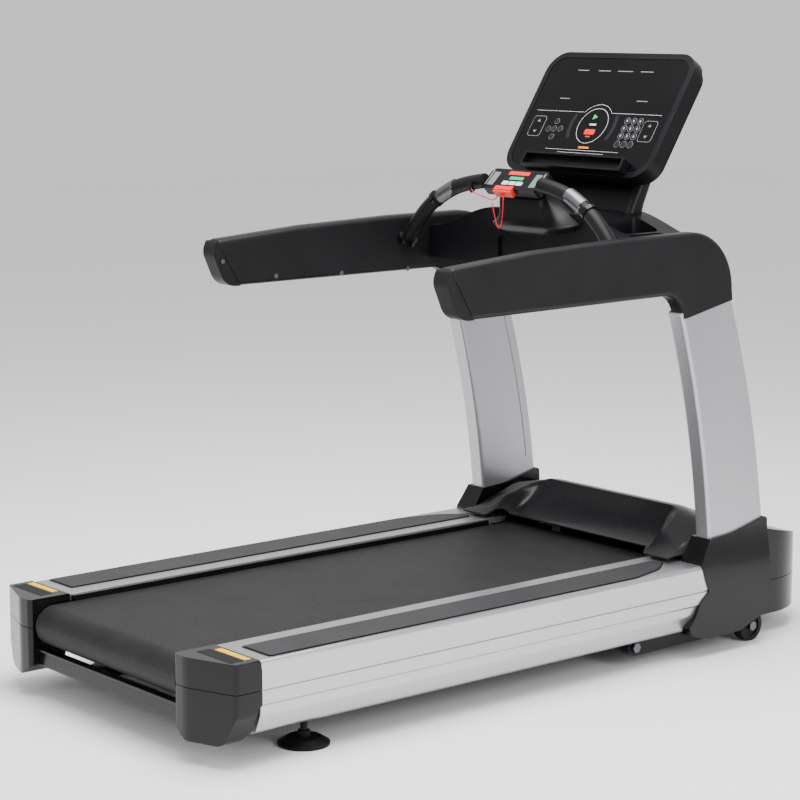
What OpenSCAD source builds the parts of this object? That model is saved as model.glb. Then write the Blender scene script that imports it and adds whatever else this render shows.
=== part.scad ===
// Motorised treadmill. Millimetres, +Z up, +Y towards the console end.
// Origin: on the floor, on the centre plane, at the middle of the overall length.

/* [Base] */
// Overall length, rear cap tips to front cover
overall_l = 2034; // [1900:1:2200]
// Width over the two aluminium side rails
rails_w = 942; // [900:1:1000]
// Height of the side rails' top face above the floor
rail_top = 238; // [225:1:260]
// Height of the side rails' section
rail_h = 174; // [150:1:185]
// Width of each side rail's top flange
flange_w = 168; // [150:1:180]
// Wall of the aluminium side rails
rail_wall = 4; // [3:0.5:5]
// Depth of the seam groove along the side rails
seam_d = 2.5; // [1:0.5:3]
// Length of the rear end caps
cap_l = 115; // [100:1:140]
// Thickness of the ribbed pads on the side rails
pad_t = 3; // [2:0.5:5]
// Width of the ribbed pads
pad_w = 108; // [90:1:120]

/* [Running surface] */
// Belt width
belt_w = 580; // [540:1:585]
// Belt thickness
belt_t = 3; // [2:0.5:4]
// Deck thickness
deck_t = 25; // [18:1:28]
// Height of the belt's running face
belt_z = 222; // [215:1:225]
// Roller diameter
roller_d = 90; // [70:1:92]
// Distance between the two rollers' axes
roller_span = 1472; // [1400:1:1480]
// Rear roller's axis, forward of the rear cap tips
rear_roller_in = 60; // [55:1:75]
// Roller axle diameter
axle_d = 25; // [20:1:28]
// Gap between the belt and the deck, and between the belt and the rollers
belt_gap = 0.3; // [0.2:0.1:0.6]

/* [Frame] */
// Width of the steel frame rails
frame_rail_w = 60; // [50:1:70]
// Height of the steel frame rails
frame_rail_h = 80; // [60:1:90]
// Wall of the steel frame rails
frame_wall = 3; // [2:0.5:4]
// Half distance to the inner face of the frame rails
frame_in_x = 318; // [310:1:325]
// Height of the rubber deck cushions
cushion_h = 15; // [10:1:20]

/* [Lift] */
// Lift frame pivot, forward of the middle
lift_pivot_y = 282; // [260:1:300]
// Height of the lift frame pivot
lift_pivot_z = 52; // [48:1:58]
// Lift arm length, pivot to wheel axle
lift_arm_l = 419; // [400:1:440]
// Transport wheel diameter
wheel_d = 80; // [70:1:90]
// Transport wheel width
wheel_w = 28; // [20:1:34]
// Half distance between the lift arms' middles
lift_arm_x = 420; // [410:1:426]

/* [Uprights and arms] */
// Thickness of the uprights across the treadmill
upright_t = 50; // [40:1:60]
// Half distance to the uprights' outer face
upright_x = 455; // [445:1:462]
// Radius of the uprights' curved edges
upright_r = 2500; // [2000:10:4000]
// Height of the seam between upright and arm
upright_top = 866; // [830:1:900]
// Width of the arms
arm_w = 50; // [44:1:60]
// Outward flare of the arms in degrees
arm_flare = 1.2; // [0:0.1:2]
// Height of the arms' rear end above the floor
arm_tip_z = 1045; // [1000:1:1080]
// Height of the arms' front end above the floor
arm_top_z = 1081; // [1040:1:1120]

/* [Console] */
// Console width
console_w = 542; // [480:1:600]
// Console height along its face
console_h = 366; // [320:1:400]
// Console thickness
console_t = 58; // [40:1:70]
// Console tilt back from vertical in degrees
console_tilt = 32.8; // [20:0.1:45]
// Height of the middle of the console's face
console_z = 1356; // [1300:1:1400]
// Middle of the console's face, forward of the middle of the treadmill
console_y = 548; // [520:1:580]
// Corner radius of the console
console_r = 60; // [40:1:70]

/* [Handlebar and pod] */
// Width of the control pod
pod_w = 214; // [180:1:240]
// Length of the pod's face
pod_l = 68; // [60:1:80]
// Thickness of the pod
pod_t = 34; // [26:1:44]
// Tilt of the pod's face in degrees
pod_tilt = 43.8; // [30:0.1:50]
// Middle of the pod's face, forward of the middle of the treadmill
pod_y = 257; // [240:1:270]
// Height of the middle of the pod's face
pod_z = 1195; // [1180:1:1210]
// Handlebar tube diameter
bar_d = 38; // [32:1:42]
// Key travel
key_travel = 1; // [0.5:0.1:1.5]
// Gap around each key
key_gap = 0.5; // [0.3:0.1:0.8]

/* [Hidden] */
$fn = 48;

rear_y = -overall_l / 2;
front_y = overall_l / 2;
cap_y = rear_y + cap_l;            // front face of the end caps, rear end of the side rails
rail_x = rails_w / 2;              // outer face of the side rails
flange_x = rail_x - flange_w;      // inner edge of the side rails' flange
rail_bottom = rail_top - rail_h;
rail_front_y = 512;                // tip of the side rails inside the corner covers
seam_z = rail_bottom + 0.62 * rail_h;
pad_x = rail_x - 14 - pad_w;       // inner edge of the ribbed pads

belt_in_z = belt_z - belt_t;       // inside of the belt's top run
roller_r = roller_d / 2;
wrap_r = roller_r + belt_gap;      // inside radius of the belt around a roller
roller_z = belt_in_z - wrap_r;
rear_roller_y = rear_y + rear_roller_in;
front_roller_y = rear_roller_y + roller_span;
roller_x = belt_w / 2 + 7;         // half length of the rollers
deck_z = belt_in_z - belt_gap - deck_t;
deck_y0 = rear_roller_y + wrap_r + 14;
deck_y1 = front_roller_y - wrap_r - 14;
deck_x = frame_in_x + 32;
frame_z1 = deck_z - cushion_h;     // top of the steel frame rails
frame_z0 = frame_z1 - frame_rail_h;
frame_y0 = rear_y + 66;
frame_y1 = 700;
frame_out_x = frame_in_x + frame_rail_w;
run_fit = 0.05;                    // running clearance on every radius
bracket_t = 8;                     // thickness of the roller brackets
cushion_x = frame_in_x + 17;
bolt_x = frame_in_x - bracket_t / 2;
bolt_z = frame_z0 + 20;

pulley_w = 14;                     // width of the drive pulleys
pulley_x = roller_x + 4;           // inner face of the drive pulleys
pulley_r = 50;                     // front roller's pulley
motor_pulley_r = 20;
lip_z = roller_z + pulley_r + 5;   // lower edge of the side rails' inner lip, above the drive belt
motor_r = 62;
motor_y = 740;
motor_z = 176;
shaft_r = 9;

lift_wheel_y = lift_pivot_y + sqrt(lift_arm_l * lift_arm_l - pow(lift_pivot_z - wheel_d / 2, 2));
wheel_r = wheel_d / 2;
pivot_r = 10;
lift_tube_y = lift_pivot_y + 350;   // cross tube between the lift arms
lever_l = 98;                      // lever on the right lift arm, pivot to actuator pin
lever_z = lift_pivot_z + lever_l;
act_x = lift_arm_x - 7;            // middle of the actuator
act_base_y = lift_pivot_y - 322;   // actuator's pin on the frame rail
act_base_z = lever_z - 10;
act_r = 25;
screw_r = 9;
pin_r = 6;
lever_slack = 2.6;                 // clearance of the actuator pin in the lever's eyes
tang_l = 36;                       // flat tongue between the lever plates, pin to screw

foot_x = 388;
foot_y = rear_y + 286;
cover_x = rail_x + 4;              // outer face of the corner covers
hood_x = 394;                      // half width of the hood

// ---- helpers ----
module slab_x(x0, x1) translate([x0, 0, 0]) rotate([90, 0, 90]) linear_extrude(x1 - x0) children();
module run_y(y0, y1) translate([0, y1, 0]) rotate([90, 0, 0]) linear_extrude(y1 - y0) children();
module rod_x(r, x0, x1, y, z) translate([x0, y, z]) rotate([0, 90, 0]) cylinder(r=r, h=x1 - x0);
module bar(a, b, r) {
    d = b - a;
    translate(a) rotate([0, acos(d[2] / norm(d)), atan2(d[1], d[0])]) cylinder(r=r, h=norm(d));
}
module block(x0, x1, y0, y1, z0, z1) translate([x0, y0, z0]) cube([x1 - x0, y1 - y0, z1 - z0]);
module on_side(s) mirror([s < 0 ? 1 : 0, 0, 0]) children();
module both_sides() for (s = [1, -1]) on_side(s) children();
module rounded_plate(w, l, r, t) linear_extrude(t) rounded_rect(w, l, r);
module rounded_rect(w, l, r) {
    square([w - 2 * r, l], center=true);
    square([w, l - 2 * r], center=true);
    for (i = [-1, 1], j = [-1, 1]) translate([i * (w / 2 - r), j * (l / 2 - r)]) circle(r);
}
function arc(cx, cy, r, a0, a1, n=8) =
    [for (i = [0:n]) [cx + r * cos(a0 + (a1 - a0) * i / n), cy + r * sin(a0 + (a1 - a0) * i / n)]];

// ---- welded frame ----
module frame_rails() color("dimgray") both_sides()
    difference() {
        block(frame_in_x, frame_out_x, frame_y0, frame_y1, frame_z0, frame_z1);
        block(frame_in_x + frame_wall, frame_out_x - frame_wall, frame_y0 - 1, frame_y1 + 1,
            frame_z0 + frame_wall, frame_z1 - frame_wall);
    }

module frame_cross_members() color("gray") {
    for (y = [-760, -330, 100, front_roller_y - pulley_r - 65])
        block(-frame_in_x, frame_in_x, y, y + 50, roller_z - 36, roller_z - 6);
    block(-frame_in_x, frame_in_x, 620, 870, frame_z0 - 3, frame_z0 + 3);   // motor pan
    rod_x(8, frame_out_x, act_x + 28, act_base_y, act_base_z);
    both_sides() roller_bracket(rear_roller_y);
    both_sides() roller_bracket(front_roller_y);
    both_sides() pivot_bracket();
    both_sides() upright_bracket();
    both_sides() foot_boss();
}

module roller_bracket(y) difference() {
    block(frame_in_x - bracket_t, frame_in_x, y - 26, y + 26, frame_z0, roller_z + 24);
    rod_x(axle_d / 2, frame_in_x - bracket_t - 1, frame_in_x + 1, y, roller_z);
    translate([bolt_x, y - 27, bolt_z]) rotate([-90, 0, 0]) cylinder(r=3, h=54);
}

module pivot_bracket() difference() {
    union() {
        block(frame_out_x, lift_arm_x - 22, lift_pivot_y - 30, lift_pivot_y + 30, frame_z0, frame_z0 + 10);
        slab_x(lift_arm_x - 30, lift_arm_x - 22) hull() {
            translate([lift_pivot_y, lift_pivot_z]) circle(18);
            translate([lift_pivot_y, frame_z0 + 5]) square([60, 10], center=true);
        }
    }
    rod_x(pivot_r, lift_arm_x - 31, lift_arm_x - 21, lift_pivot_y, lift_pivot_z);
}

module upright_bracket()
    block(frame_out_x, upright_x - upright_t, 560, 680, frame_z0, frame_z1);

module foot_boss() difference() {
    block(frame_out_x, frame_out_x + 44, foot_y - 30, foot_y + 30, frame_z0, frame_z0 + 12);
    translate([foot_x + 6, foot_y, frame_z0 - 1]) cylinder(r=8 + run_fit, h=14);
}

module rear_crossbar() color("black")
    run_y(rear_y + 22, rear_y + 40) difference() {
        translate([-flange_x + 2, roller_z - 97]) square([2 * flange_x - 4, 44]);
        for (z = [roller_z - 84, roller_z - 68])
            translate([-flange_x + 20, z]) square([2 * flange_x - 40, 3]);
    }

// ---- aluminium side rails with the pads and end caps ----
function rail_section() = [
    [flange_x, rail_top], [rail_x - 8, rail_top], [rail_x, rail_top - 8],
    [rail_x, seam_z + seam_d], [rail_x - seam_d, seam_z], [rail_x, seam_z - seam_d],
    [rail_x, rail_bottom + 72], [rail_x - 10, rail_bottom + 36], [rail_x - 28, rail_bottom + 6],
    [rail_x - 42, rail_bottom], [rail_x - 42, rail_bottom + rail_wall],
    [rail_x - 30, rail_bottom + rail_wall + 6], [rail_x - 14, rail_bottom + 38],
    [rail_x - rail_wall - 1, rail_bottom + 72], [rail_x - rail_wall - 1, rail_top - 10],
    [rail_x - 10, rail_top - rail_wall], [flange_x + rail_wall, rail_top - rail_wall],
    [flange_x + rail_wall, lip_z], [flange_x, lip_z]];

module side_rail() color("silver") run_y(cap_y, rail_front_y) polygon(rail_section());

module foot_rail_pads() color([0.25, 0.25, 0.26]) both_sides() foot_rail_pad();

module foot_rail_pad() {
    y0 = cap_y + 32;
    y1 = 430;
    translate([0, 0, rail_top]) difference() {
        linear_extrude(pad_t) polygon(concat(
            [[pad_x, y0], [pad_x + pad_w - 8, y0], [pad_x + pad_w, y0 + 8], [pad_x + pad_w, y1 - 150]],
            [for (i = [1:8]) [pad_x + pad_w - 60 * pow(i / 8, 2), y1 - 150 + 150 * i / 8]],
            [[pad_x + 20, y1], [pad_x, y1 - 20]]));
        for (i = [0:10]) translate([pad_x + 14 + i * 8, y0 + 14, pad_t - 1]) cube([2, y1 - y0 - 200, 2]);
    }
}

function cap_plan() = concat(
    [[flange_x - 2, cap_y], [rail_x + 2, cap_y], [rail_x + 2, rear_y + 52]],
    arc(rail_x - 10, rear_y + 46, 12, 0, -75, 4),
    [[rail_x - 40, rear_y + 28], [flange_x + 44, rear_y]],
    arc(flange_x + 14, rear_y + 16, 16, -90, -180, 4));

cap_wall = 4;
module rear_end_cap() color([0.1, 0.1, 0.1]) difference() {
    union() {
        translate([0, 0, seam_z]) linear_extrude(rail_top + 2 - seam_z) polygon(cap_plan());
        translate([0, 0, rail_bottom - 12]) linear_extrude(seam_z + 1 - rail_bottom + 12) intersection() {
            polygon(cap_plan());
            translate([flange_x - 2, rear_y - 1]) square([flange_w - 12, cap_l + 2]);
        }
    }
    // hollow for the frame rail, the roller bracket and the roller's end
    block(flange_x + 4, rail_x - 2, rear_y + 56, cap_y + 1, seam_z - 8, rail_top - 2);
    block(flange_x + 4, rail_x - 18, rear_y + 34, cap_y + 1, rail_bottom - 13, rail_top - 2);
    block(flange_x - 3, flange_x + 5, rear_y + 12, cap_y + 1, roller_z - 52, roller_z + 40);
    translate([bolt_x, rear_y - 1, bolt_z]) rotate([-90, 0, 0]) cylinder(r=10, h=40);
}

// ---- deck and belt ----
module running_deck() color([0.2, 0.16, 0.12])
    block(-deck_x, deck_x, deck_y0, deck_y1, deck_z, deck_z + deck_t);

module deck_cushions() color("black") both_sides()
    for (y = [-780, -420, -60, 300]) translate([cushion_x, y, frame_z1]) cylinder(r=15, h=cushion_h);

module belt_loop(r) {
    for (y = [rear_roller_y, front_roller_y]) translate([y, roller_z]) circle(r, $fn=96);
    translate([rear_roller_y, roller_z - r]) square([roller_span, 2 * r]);
}

module running_belt() color([0.12, 0.12, 0.12])
    slab_x(-belt_w / 2, belt_w / 2) difference() {
        belt_loop(wrap_r + belt_t);
        belt_loop(wrap_r);
    }

module belt_guides() color([0.08, 0.08, 0.08]) both_sides() difference() {
    block(belt_w / 2 + 2, flange_x - 0.5, deck_y0, deck_y1 - 20, deck_z + deck_t, rail_top - 3);
    for (y = [-700:200:300]) block(belt_w / 2 + 1, belt_w / 2 + 4, y, y + 30, rail_top - 12, rail_top - 8);
}

// ---- rollers ----
bearing_r = 26;
bearing_w = 16;
module roller(y) difference() {
    union() {
        rod_x(roller_r, -roller_x, roller_x, y, roller_z);
        children();
    }
    rod_x(axle_d / 2 + 3, -roller_x - 30, roller_x + 30, y, roller_z);
    rod_x(roller_r - 5, -roller_x + 24, roller_x - 24, y, roller_z);
    both_sides() rod_x(bearing_r + run_fit, roller_x - bearing_w, roller_x + 1, y, roller_z);
}

module rear_roller() color([0.6, 0.6, 0.62]) roller(rear_roller_y);

module front_roller() color([0.6, 0.6, 0.62]) roller(front_roller_y)
    difference() {
        rod_x(pulley_r, -pulley_x - pulley_w + 6, -roller_x + 0.01, front_roller_y, roller_z);
        rod_x(bearing_r + 5, -pulley_x - pulley_w, -roller_x - 1, front_roller_y, roller_z);
    }

module roller_axles() color("lightgray")
    for (y = [rear_roller_y, front_roller_y])
        rod_x(axle_d / 2, -frame_in_x, frame_in_x, y, roller_z);

module roller_bearings() color([0.5, 0.5, 0.5])
    for (y = [rear_roller_y, front_roller_y]) both_sides() difference() {
        rod_x(bearing_r, roller_x - bearing_w + 0.5, roller_x - 1, y, roller_z);
        rod_x(axle_d / 2, roller_x - bearing_w, roller_x, y, roller_z);
    }

module belt_tension_bolts() color("silver") both_sides()
    translate([bolt_x, rear_y + 16, bolt_z]) rotate([-90, 0, 0]) {
        cylinder(r=3, h=60);
        cylinder(r=7.5, h=6, $fn=6);
    }

// ---- drive ----
module drive_motor() color([0.15, 0.15, 0.16]) difference() {
    union() {
        rod_x(motor_r, -250, 0, motor_y, motor_z);
        for (x = [-220, -60]) block(x, x + 30, motor_y - 50, motor_y + 50, frame_z0 + 3, motor_z);
    }
    rod_x(shaft_r + run_fit, -251, 1, motor_y, motor_z);
}

module motor_shaft() color("silver") {
    rod_x(shaft_r, -pulley_x - pulley_w + 7, 14, motor_y, motor_z);
    rod_x(46, -276, -258, motor_y, motor_z);
    rod_x(motor_pulley_r, -pulley_x - pulley_w + 6, -pulley_x, motor_y, motor_z);
}

module drive_loop(extra) hull() {
    translate([front_roller_y, roller_z]) circle(pulley_r + extra);
    translate([motor_y, motor_z]) circle(motor_pulley_r + extra);
}

module drive_belt() color([0.1, 0.1, 0.1])
    slab_x(-pulley_x - pulley_w + 7, -pulley_x - 1) difference() {
        drive_loop(belt_gap + 3);
        drive_loop(belt_gap);
    }

module motor_controller() color([0.3, 0.32, 0.34]) {
    block(120, 290, 700, 850, frame_z0 + 3, frame_z0 + 90);
    for (i = [0:7]) block(128 + i * 20, 134 + i * 20, 710, 840, frame_z0 + 90, frame_z0 + 112);
}

// ---- incline lift ----
act_pin = [act_x, lift_pivot_y, lever_z];
act_base = [act_x, act_base_y, act_base_z];
act_l = norm(act_pin - act_base);
act_dir = (act_pin - act_base) / act_l;

module actuator_body() color([0.2, 0.2, 0.22]) difference() {
    union() {
        bar(act_base + 28 * act_dir, act_base + 215 * act_dir, act_r);
        bar(act_base + 215 * act_dir, act_base + 228 * act_dir, 16);
        slab_x(act_x - 12, act_x + 12) hull() {
            translate([act_base_y, act_base_z]) circle(16);
            translate([act_base_y + 24, act_base_z + 1]) square([10, 30], center=true);
        }
    }
    rod_x(8 + run_fit, act_x - 13, act_x + 13, act_base_y, act_base_z);
    bar(act_base + 60 * act_dir, act_base + 230 * act_dir, screw_r + run_fit);
}

module actuator_screw() color("silver") {
    bar(act_base + 66 * act_dir, act_pin - tang_l * act_dir, screw_r);
    slab_x(act_x - 5, act_x + 5) hull() {
        translate([lift_pivot_y, lever_z]) circle(13);
        translate([act_pin[1] - (tang_l + 8) * act_dir[1], act_pin[2] - (tang_l + 8) * act_dir[2]])
            circle(screw_r - 2);
    }
    rod_x(pin_r, act_x - 15, act_x + 15, lift_pivot_y, lever_z);
}

module lift_frame() color([0.1, 0.1, 0.1]) difference() {
    union() {
        both_sides() lift_arm();
        rod_x(20, -lift_arm_x, lift_arm_x, lift_tube_y, lift_pivot_z - 2);
        for (s = [-1, 1]) lever_plate(s);
    }
    both_sides() rod_x(pivot_r + run_fit, lift_arm_x - 21, lift_arm_x + 21, lift_pivot_y, lift_pivot_z);
    both_sides() rod_x(8, lift_arm_x - 21, lift_arm_x + 21, lift_wheel_y, wheel_r);
    rod_x(pin_r + lever_slack, act_x - 20, act_x + 20, lift_pivot_y, lever_z);
}

module lift_arm() {
    x0 = lift_arm_x - 20;
    slab_x(x0, x0 + 26) hull() {
        translate([lift_pivot_y, lift_pivot_z]) circle(22);
        translate([lift_tube_y, lift_pivot_z - 2]) circle(18);
    }
    slab_x(x0, x0 + 8) hull() {
        translate([lift_tube_y - 20, lift_pivot_z - 2]) circle(18);
        translate([lift_wheel_y, wheel_r]) circle(16);
    }
}

module lever_plate(s) slab_x(act_x + s * 10 - 3, act_x + s * 10 + 3) hull() {
    translate([lift_pivot_y, lift_pivot_z]) circle(20);
    translate([lift_pivot_y, lever_z]) circle(16);
}

module lift_pivot_bolts() color("silver") both_sides() {
    rod_x(pivot_r, lift_arm_x - 30, lift_arm_x + 10, lift_pivot_y, lift_pivot_z);
    translate([lift_arm_x + 8, lift_pivot_y, lift_pivot_z]) rotate([0, 90, 0]) rotate([0, 0, 30])
        cylinder(r=13, h=8, $fn=6);
}

module transport_wheel() color([0.12, 0.12, 0.12]) difference() {
    rod_x(wheel_r, wheel_x0(), wheel_x0() + wheel_w, lift_wheel_y, wheel_r);
    rod_x(8 + run_fit, wheel_x0() - 1, wheel_x0() + wheel_w + 1, lift_wheel_y, wheel_r);
    rod_x(wheel_r - 12, wheel_x0() + wheel_w - 4, wheel_x0() + wheel_w + 1, lift_wheel_y, wheel_r);
}
function wheel_x0() = lift_arm_x - 11;

module wheel_bolts() color("silver") both_sides() {
    rod_x(8, lift_arm_x - 20, wheel_x0() + wheel_w + 1, lift_wheel_y, wheel_r);
    translate([wheel_x0() + wheel_w + 0.5, lift_wheel_y, wheel_r]) rotate([0, 90, 0])
        cylinder(r=13, h=7, $fn=6);
}

// ---- covers over the drive ----
hood_t = 4;
hood_rear_y = 430;
hood_front_y = 880;
hood_nx = 24;
hood_ny = 18;
function smooth(t) = let (u = min(1, max(0, t))) u * u * (3 - 2 * u);
function hood_edge_y(x) = hood_rear_y + 62 * (1 - smooth((abs(x) - 170) / 150));
function hood_top(x, v) = let (horn = smooth((abs(x) - 180) / 150))
    248 + 90 * (horn * smooth(v / 0.42) + (1 - horn) * smooth(v / 0.5) * smooth(v / 0.5))
    - 84 * smooth((v - 0.55) / 0.45) - 20 * smooth((abs(x) - 340) / 70) * smooth((v - 0.2) / 0.2);
function hood_x_at(i) = hood_x * (2 * i / hood_nx - 1);
function hood_point(i, j, drop) = let (x = hood_x_at(i), v = j / hood_ny)
    [x, hood_edge_y(x) + v * (hood_front_y - hood_edge_y(x)), hood_top(x, v) - drop];

module motor_hood() color([0.14, 0.14, 0.15]) {
    n = hood_ny + 1;
    m = (hood_nx + 1) * n;
    points = [for (d = [0, hood_t], i = [0:hood_nx], j = [0:hood_ny]) hood_point(i, j, d)];
    top = [for (i = [0:hood_nx - 1], j = [0:hood_ny - 1])
        each [[i * n + j, i * n + j + 1, (i + 1) * n + j + 1],
            [i * n + j, (i + 1) * n + j + 1, (i + 1) * n + j]]];
    under = [for (f = top) [f[2] + m, f[1] + m, f[0] + m]];
    rim = concat([for (j = [0:hood_ny]) j], [for (i = [1:hood_nx]) i * n + hood_ny],
        [for (j = [1:hood_ny]) hood_nx * n + hood_ny - j], [for (i = [1:hood_nx - 1]) (hood_nx - i) * n]);
    wall = [for (k = [0:len(rim) - 1]) let (a = rim[k], b = rim[(k + 1) % len(rim)])
        each [[a, a + m, b + m], [a, b + m, b]]];
    polyhedron(points, concat(top, under, wall));
}

front_x = hood_x + 14;             // outer face of the front cover
corner_y1 = 728;                   // where the corner covers meet the front cover
front_r = 95;                      // radius of its nose
front_z = 142;
function nose(g, a) = arc(front_y - front_r, front_z, front_r - g, -75, a, 12);
// plan of the front cover, g inside its outer faces: its corners are cut back in a wide curve
function front_half(g) = [[front_x - g, 690], [front_x - g, front_y - 162], [front_x - 12 - g, front_y - 128],
    [front_x - 54 - g, front_y - 74 - g], [front_x - 104 - g, front_y - 32 - g],
    [front_x - 140, front_y - 9 - g], [front_x - 176, front_y + 1 - g]];
module front_plan(g) linear_extrude(400)
    polygon(concat(front_half(g), [for (i = [6:-1:0]) [-front_half(g)[i][0], front_half(g)[i][1]]]));

module front_cover() color([0.1, 0.1, 0.11]) difference() {
    intersection() {
        slab_x(-front_x, front_x) polygon(concat([[corner_y1, 50]], nose(0, 66),
            [[hood_front_y + 1, 254], [hood_front_y + 1, 240], [corner_y1, 296]]));
        front_plan(0);
    }
    intersection() {
        slab_x(-front_x + 4, front_x - 4) polygon(concat([[700, 54]], nose(4, 62),
            [[hood_front_y - 3, 250], [700, 310]]));
        front_plan(4);
    }
    block(-front_x - 1, front_x + 1, front_y - 12, front_y + 5, front_z - 2, front_z);
    block(-80, -30, 700, front_y + 1, 74, 104);
}

function corner_side(g) = concat([[440 + g, 62 + g], [430 + g, 84], [444 + g, 101], [462 + g, 138],
    [rail_front_y - 18 + g, seam_z], [470 + g, rail_top], [472 + g, rail_top + 6],
    [509 + g, 302 - g], [corner_y1 - 6, 336 - g]],
    arc(corner_y1 - 12, 100, 12 - g, 10, -40, 3), [[700, 52 + g], [500, 44 + g]]);

module corner_cover() color([0.1, 0.1, 0.1]) difference() {
    slab_x(396, cover_x) polygon(corner_side(0));
    slab_x(390, cover_x - 3.6) polygon(concat([[380, 20], [380, rail_top + 3], [475, rail_top + 3]],
        [[512, 298], [corner_y1 - 9.6, 331]], arc(corner_y1 - 12, 102, 8.4, 10, -40, 3), [[696, 20]]));
    upright_hole();
    block(390, lift_arm_x + 24, lift_wheel_y - wheel_r - 12, lift_wheel_y + 60, 0, wheel_d + 12);
}

module upright_hole() slab_x(upright_x - upright_t - 0.5, upright_x + 0.5)
    polygon([[rear_edge(280) - 0.5, 280], [front_edge(280) + 0.5, 280],
        [front_edge(360) + 0.5, 360], [rear_edge(360) - 0.5, 360]]);

// ---- uprights, arms and bridge ----
function rear_edge(z) = 515 - 0.085 * (z - 300) - pow(z - 300, 2) / (2 * upright_r);
function front_edge(z) = 717 - 0.10 * (z - 300) - pow(z - 300, 2) / (2 * upright_r - 200);
upright_z0 = frame_z0;
function upright_outline(g) = concat(
    [for (i = [0:14]) let (z = upright_z0 + (upright_top + 8 - upright_z0) * i / 14) [rear_edge(z) + g, z]],
    [for (i = [0:14]) let (z = upright_top + 40 - (upright_top + 40 - upright_z0) * i / 14)
        [min(front_edge(z), front_edge(300)) - g, z]]);

module upright() color([0.78, 0.78, 0.8]) difference() {
    slab_x(upright_x - upright_t, upright_x) polygon(upright_outline(0));
    slab_x(upright_x - upright_t + 4, upright_x - 4) polygon(upright_outline(4));
    slab_x(upright_x - upright_t - 1, upright_x - upright_t + 1.5) upright_panel();
    for (y = [580, 620, 660]) rod_x(5, upright_x - upright_t - 1, upright_x - upright_t + 5, y, 140);
}

module upright_panel() polygon(concat(
    [for (i = [0:8]) let (z = 380 + 400 * i / 8) [rear_edge(z) + 40, z]],
    [for (i = [0:8]) let (z = 780 - 400 * i / 8) [front_edge(z) - 40, z]]));

arm_joint_y = rear_edge(upright_top);
arm_under_z = 929;
function arm_outline() = concat(
    [[-262, 927]], [[arm_joint_y - 92, arm_under_z]],
    [for (i = [1:6]) [arm_joint_y - 92 + 88 * sin(15 * i), arm_under_z - 55 * (1 - cos(15 * i))]],
    [[arm_joint_y, upright_top + 4], [front_edge(upright_top + 40), upright_top + 36]],
    arc(425, arm_top_z - 150, 150, 0, 90, 10),
    [[200, arm_top_z - 3], [0, arm_top_z - 9], [-200, arm_top_z - 19], [-330, arm_top_z - 30]]);

flare_y = 520;                     // the arms flare outwards from here
module flared() translate([upright_x, flare_y, 0]) rotate([0, 0, arm_flare])
    translate([-upright_x, -flare_y, 0]) children();

module arm() color([0.13, 0.13, 0.14]) difference() {
    flared() slab_x(upright_x - arm_w + 2, upright_x + 2) polygon(arm_outline());
    below_joint();
    // recess for the upright's hollow head and the handlebar flange
    slab_x(upright_x - upright_t + 8, upright_x - 8)
        polygon([[420, 850], [560, 850], [540, 950], [440, 950]]);
}

// everything under the seam between an upright and its arm
module below_joint() {
    low = [rear_edge(upright_top + 8), upright_top + 8];
    high = [front_edge(upright_top + 40), upright_top + 40];
    along = (high - low) / 6;
    slab_x(upright_x - upright_t - 9, upright_x + 9)
        polygon([low - along, high + along, high + along - [0, 90], low - along - [0, 90]]);
}

function tip_outline() = concat([[-262, 927], [-302, 927]],
    [for (i = [0:6]) [-302 - 81 * sin(15 * i), 927 + 108 * (1 - cos(15 * i)) ]],
    [[-380, 1040], [-372, arm_tip_z + 4], [-330, arm_top_z - 30]]);

module arm_end_tips() color([0.16, 0.16, 0.17]) both_sides()
    flared() slab_x(upright_x - arm_w + 2, upright_x + 2) polygon(tip_outline());

module arm_screws() color([0.3, 0.3, 0.3]) both_sides()
    flared() for (p = [[-355, 992], [-190, 944], [22, 938], [245, 934]])
        rod_x(6, upright_x - arm_w - 0.5, upright_x - arm_w + 2, p[0], p[1]);

bridge_x = upright_x - arm_w + 1.5;
bridge_y0 = 318;
bridge_y1 = 540;
function bridge_section(g) = concat([[-bridge_x, 1046 - g], [-bridge_x, 960 + g], [-300, 962 + g],
    [300, 962 + g], [bridge_x, 960 + g], [bridge_x, 1046 - g]],
    [for (i = [0:16]) let (x = bridge_x * (1 - i / 8))
        [x * 0.999, 1050 - g + 62 * smooth(1.55 - abs(x) / 260)]]);

module bridge_housing() color([0.1, 0.1, 0.11]) difference() {
    union() {
        run_y(bridge_y0, bridge_y1) polygon(bridge_section(0));
        pod_neck();
    }
    both_sides() tray_pocket();
    block(-bridge_x + 40, bridge_x - 40, bridge_y0 + 30, bridge_y1 - 8, 940, 1000);
    block(-130, 110, bridge_y0 - 1, bridge_y0 + 8, 972, 1040);
}

module tray_pocket() {
    block(215, 300, 350, 480, 1030, 1130);
    block(306, 385, 350, 480, 1030, 1130);
}

module pod_neck() hull() {
    translate([0, bridge_y0 + 60, 1095]) cube([330, 120, 30], center=true);
    translate([0, pod_y + 34, pod_z - 42]) rotate([pod_tilt, 0, 0]) cube([150, 40, 8], center=true);
    translate([0, bridge_y0 - 20, 1082]) cube([230, 40, 20], center=true);
}

// ---- console ----
module on_console() translate([0, console_y, console_z]) rotate([90 - console_tilt, 0, 0]) children();

module console_housing() color([0.09, 0.09, 0.1]) difference() {
    on_console() translate([0, 0, -console_t]) {
        translate([0, 0, 22]) rounded_plate(console_w, console_h, console_r, console_t - 22);
        translate([0, 0, 10]) rounded_plate(console_w - 30, console_h - 30, console_r - 15, 12.01);
        rounded_plate(console_w - 80, console_h - 80, console_r - 35, 10.01);
    }
    on_console() translate([0, 0, -3]) rounded_plate(console_w - 32, console_h - 32, console_r - 16, 4);
    on_console() translate([0, 0, -console_t + 6])
        rounded_plate(console_w - 110, console_h - 110, 12, console_t - 14);
}

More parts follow.
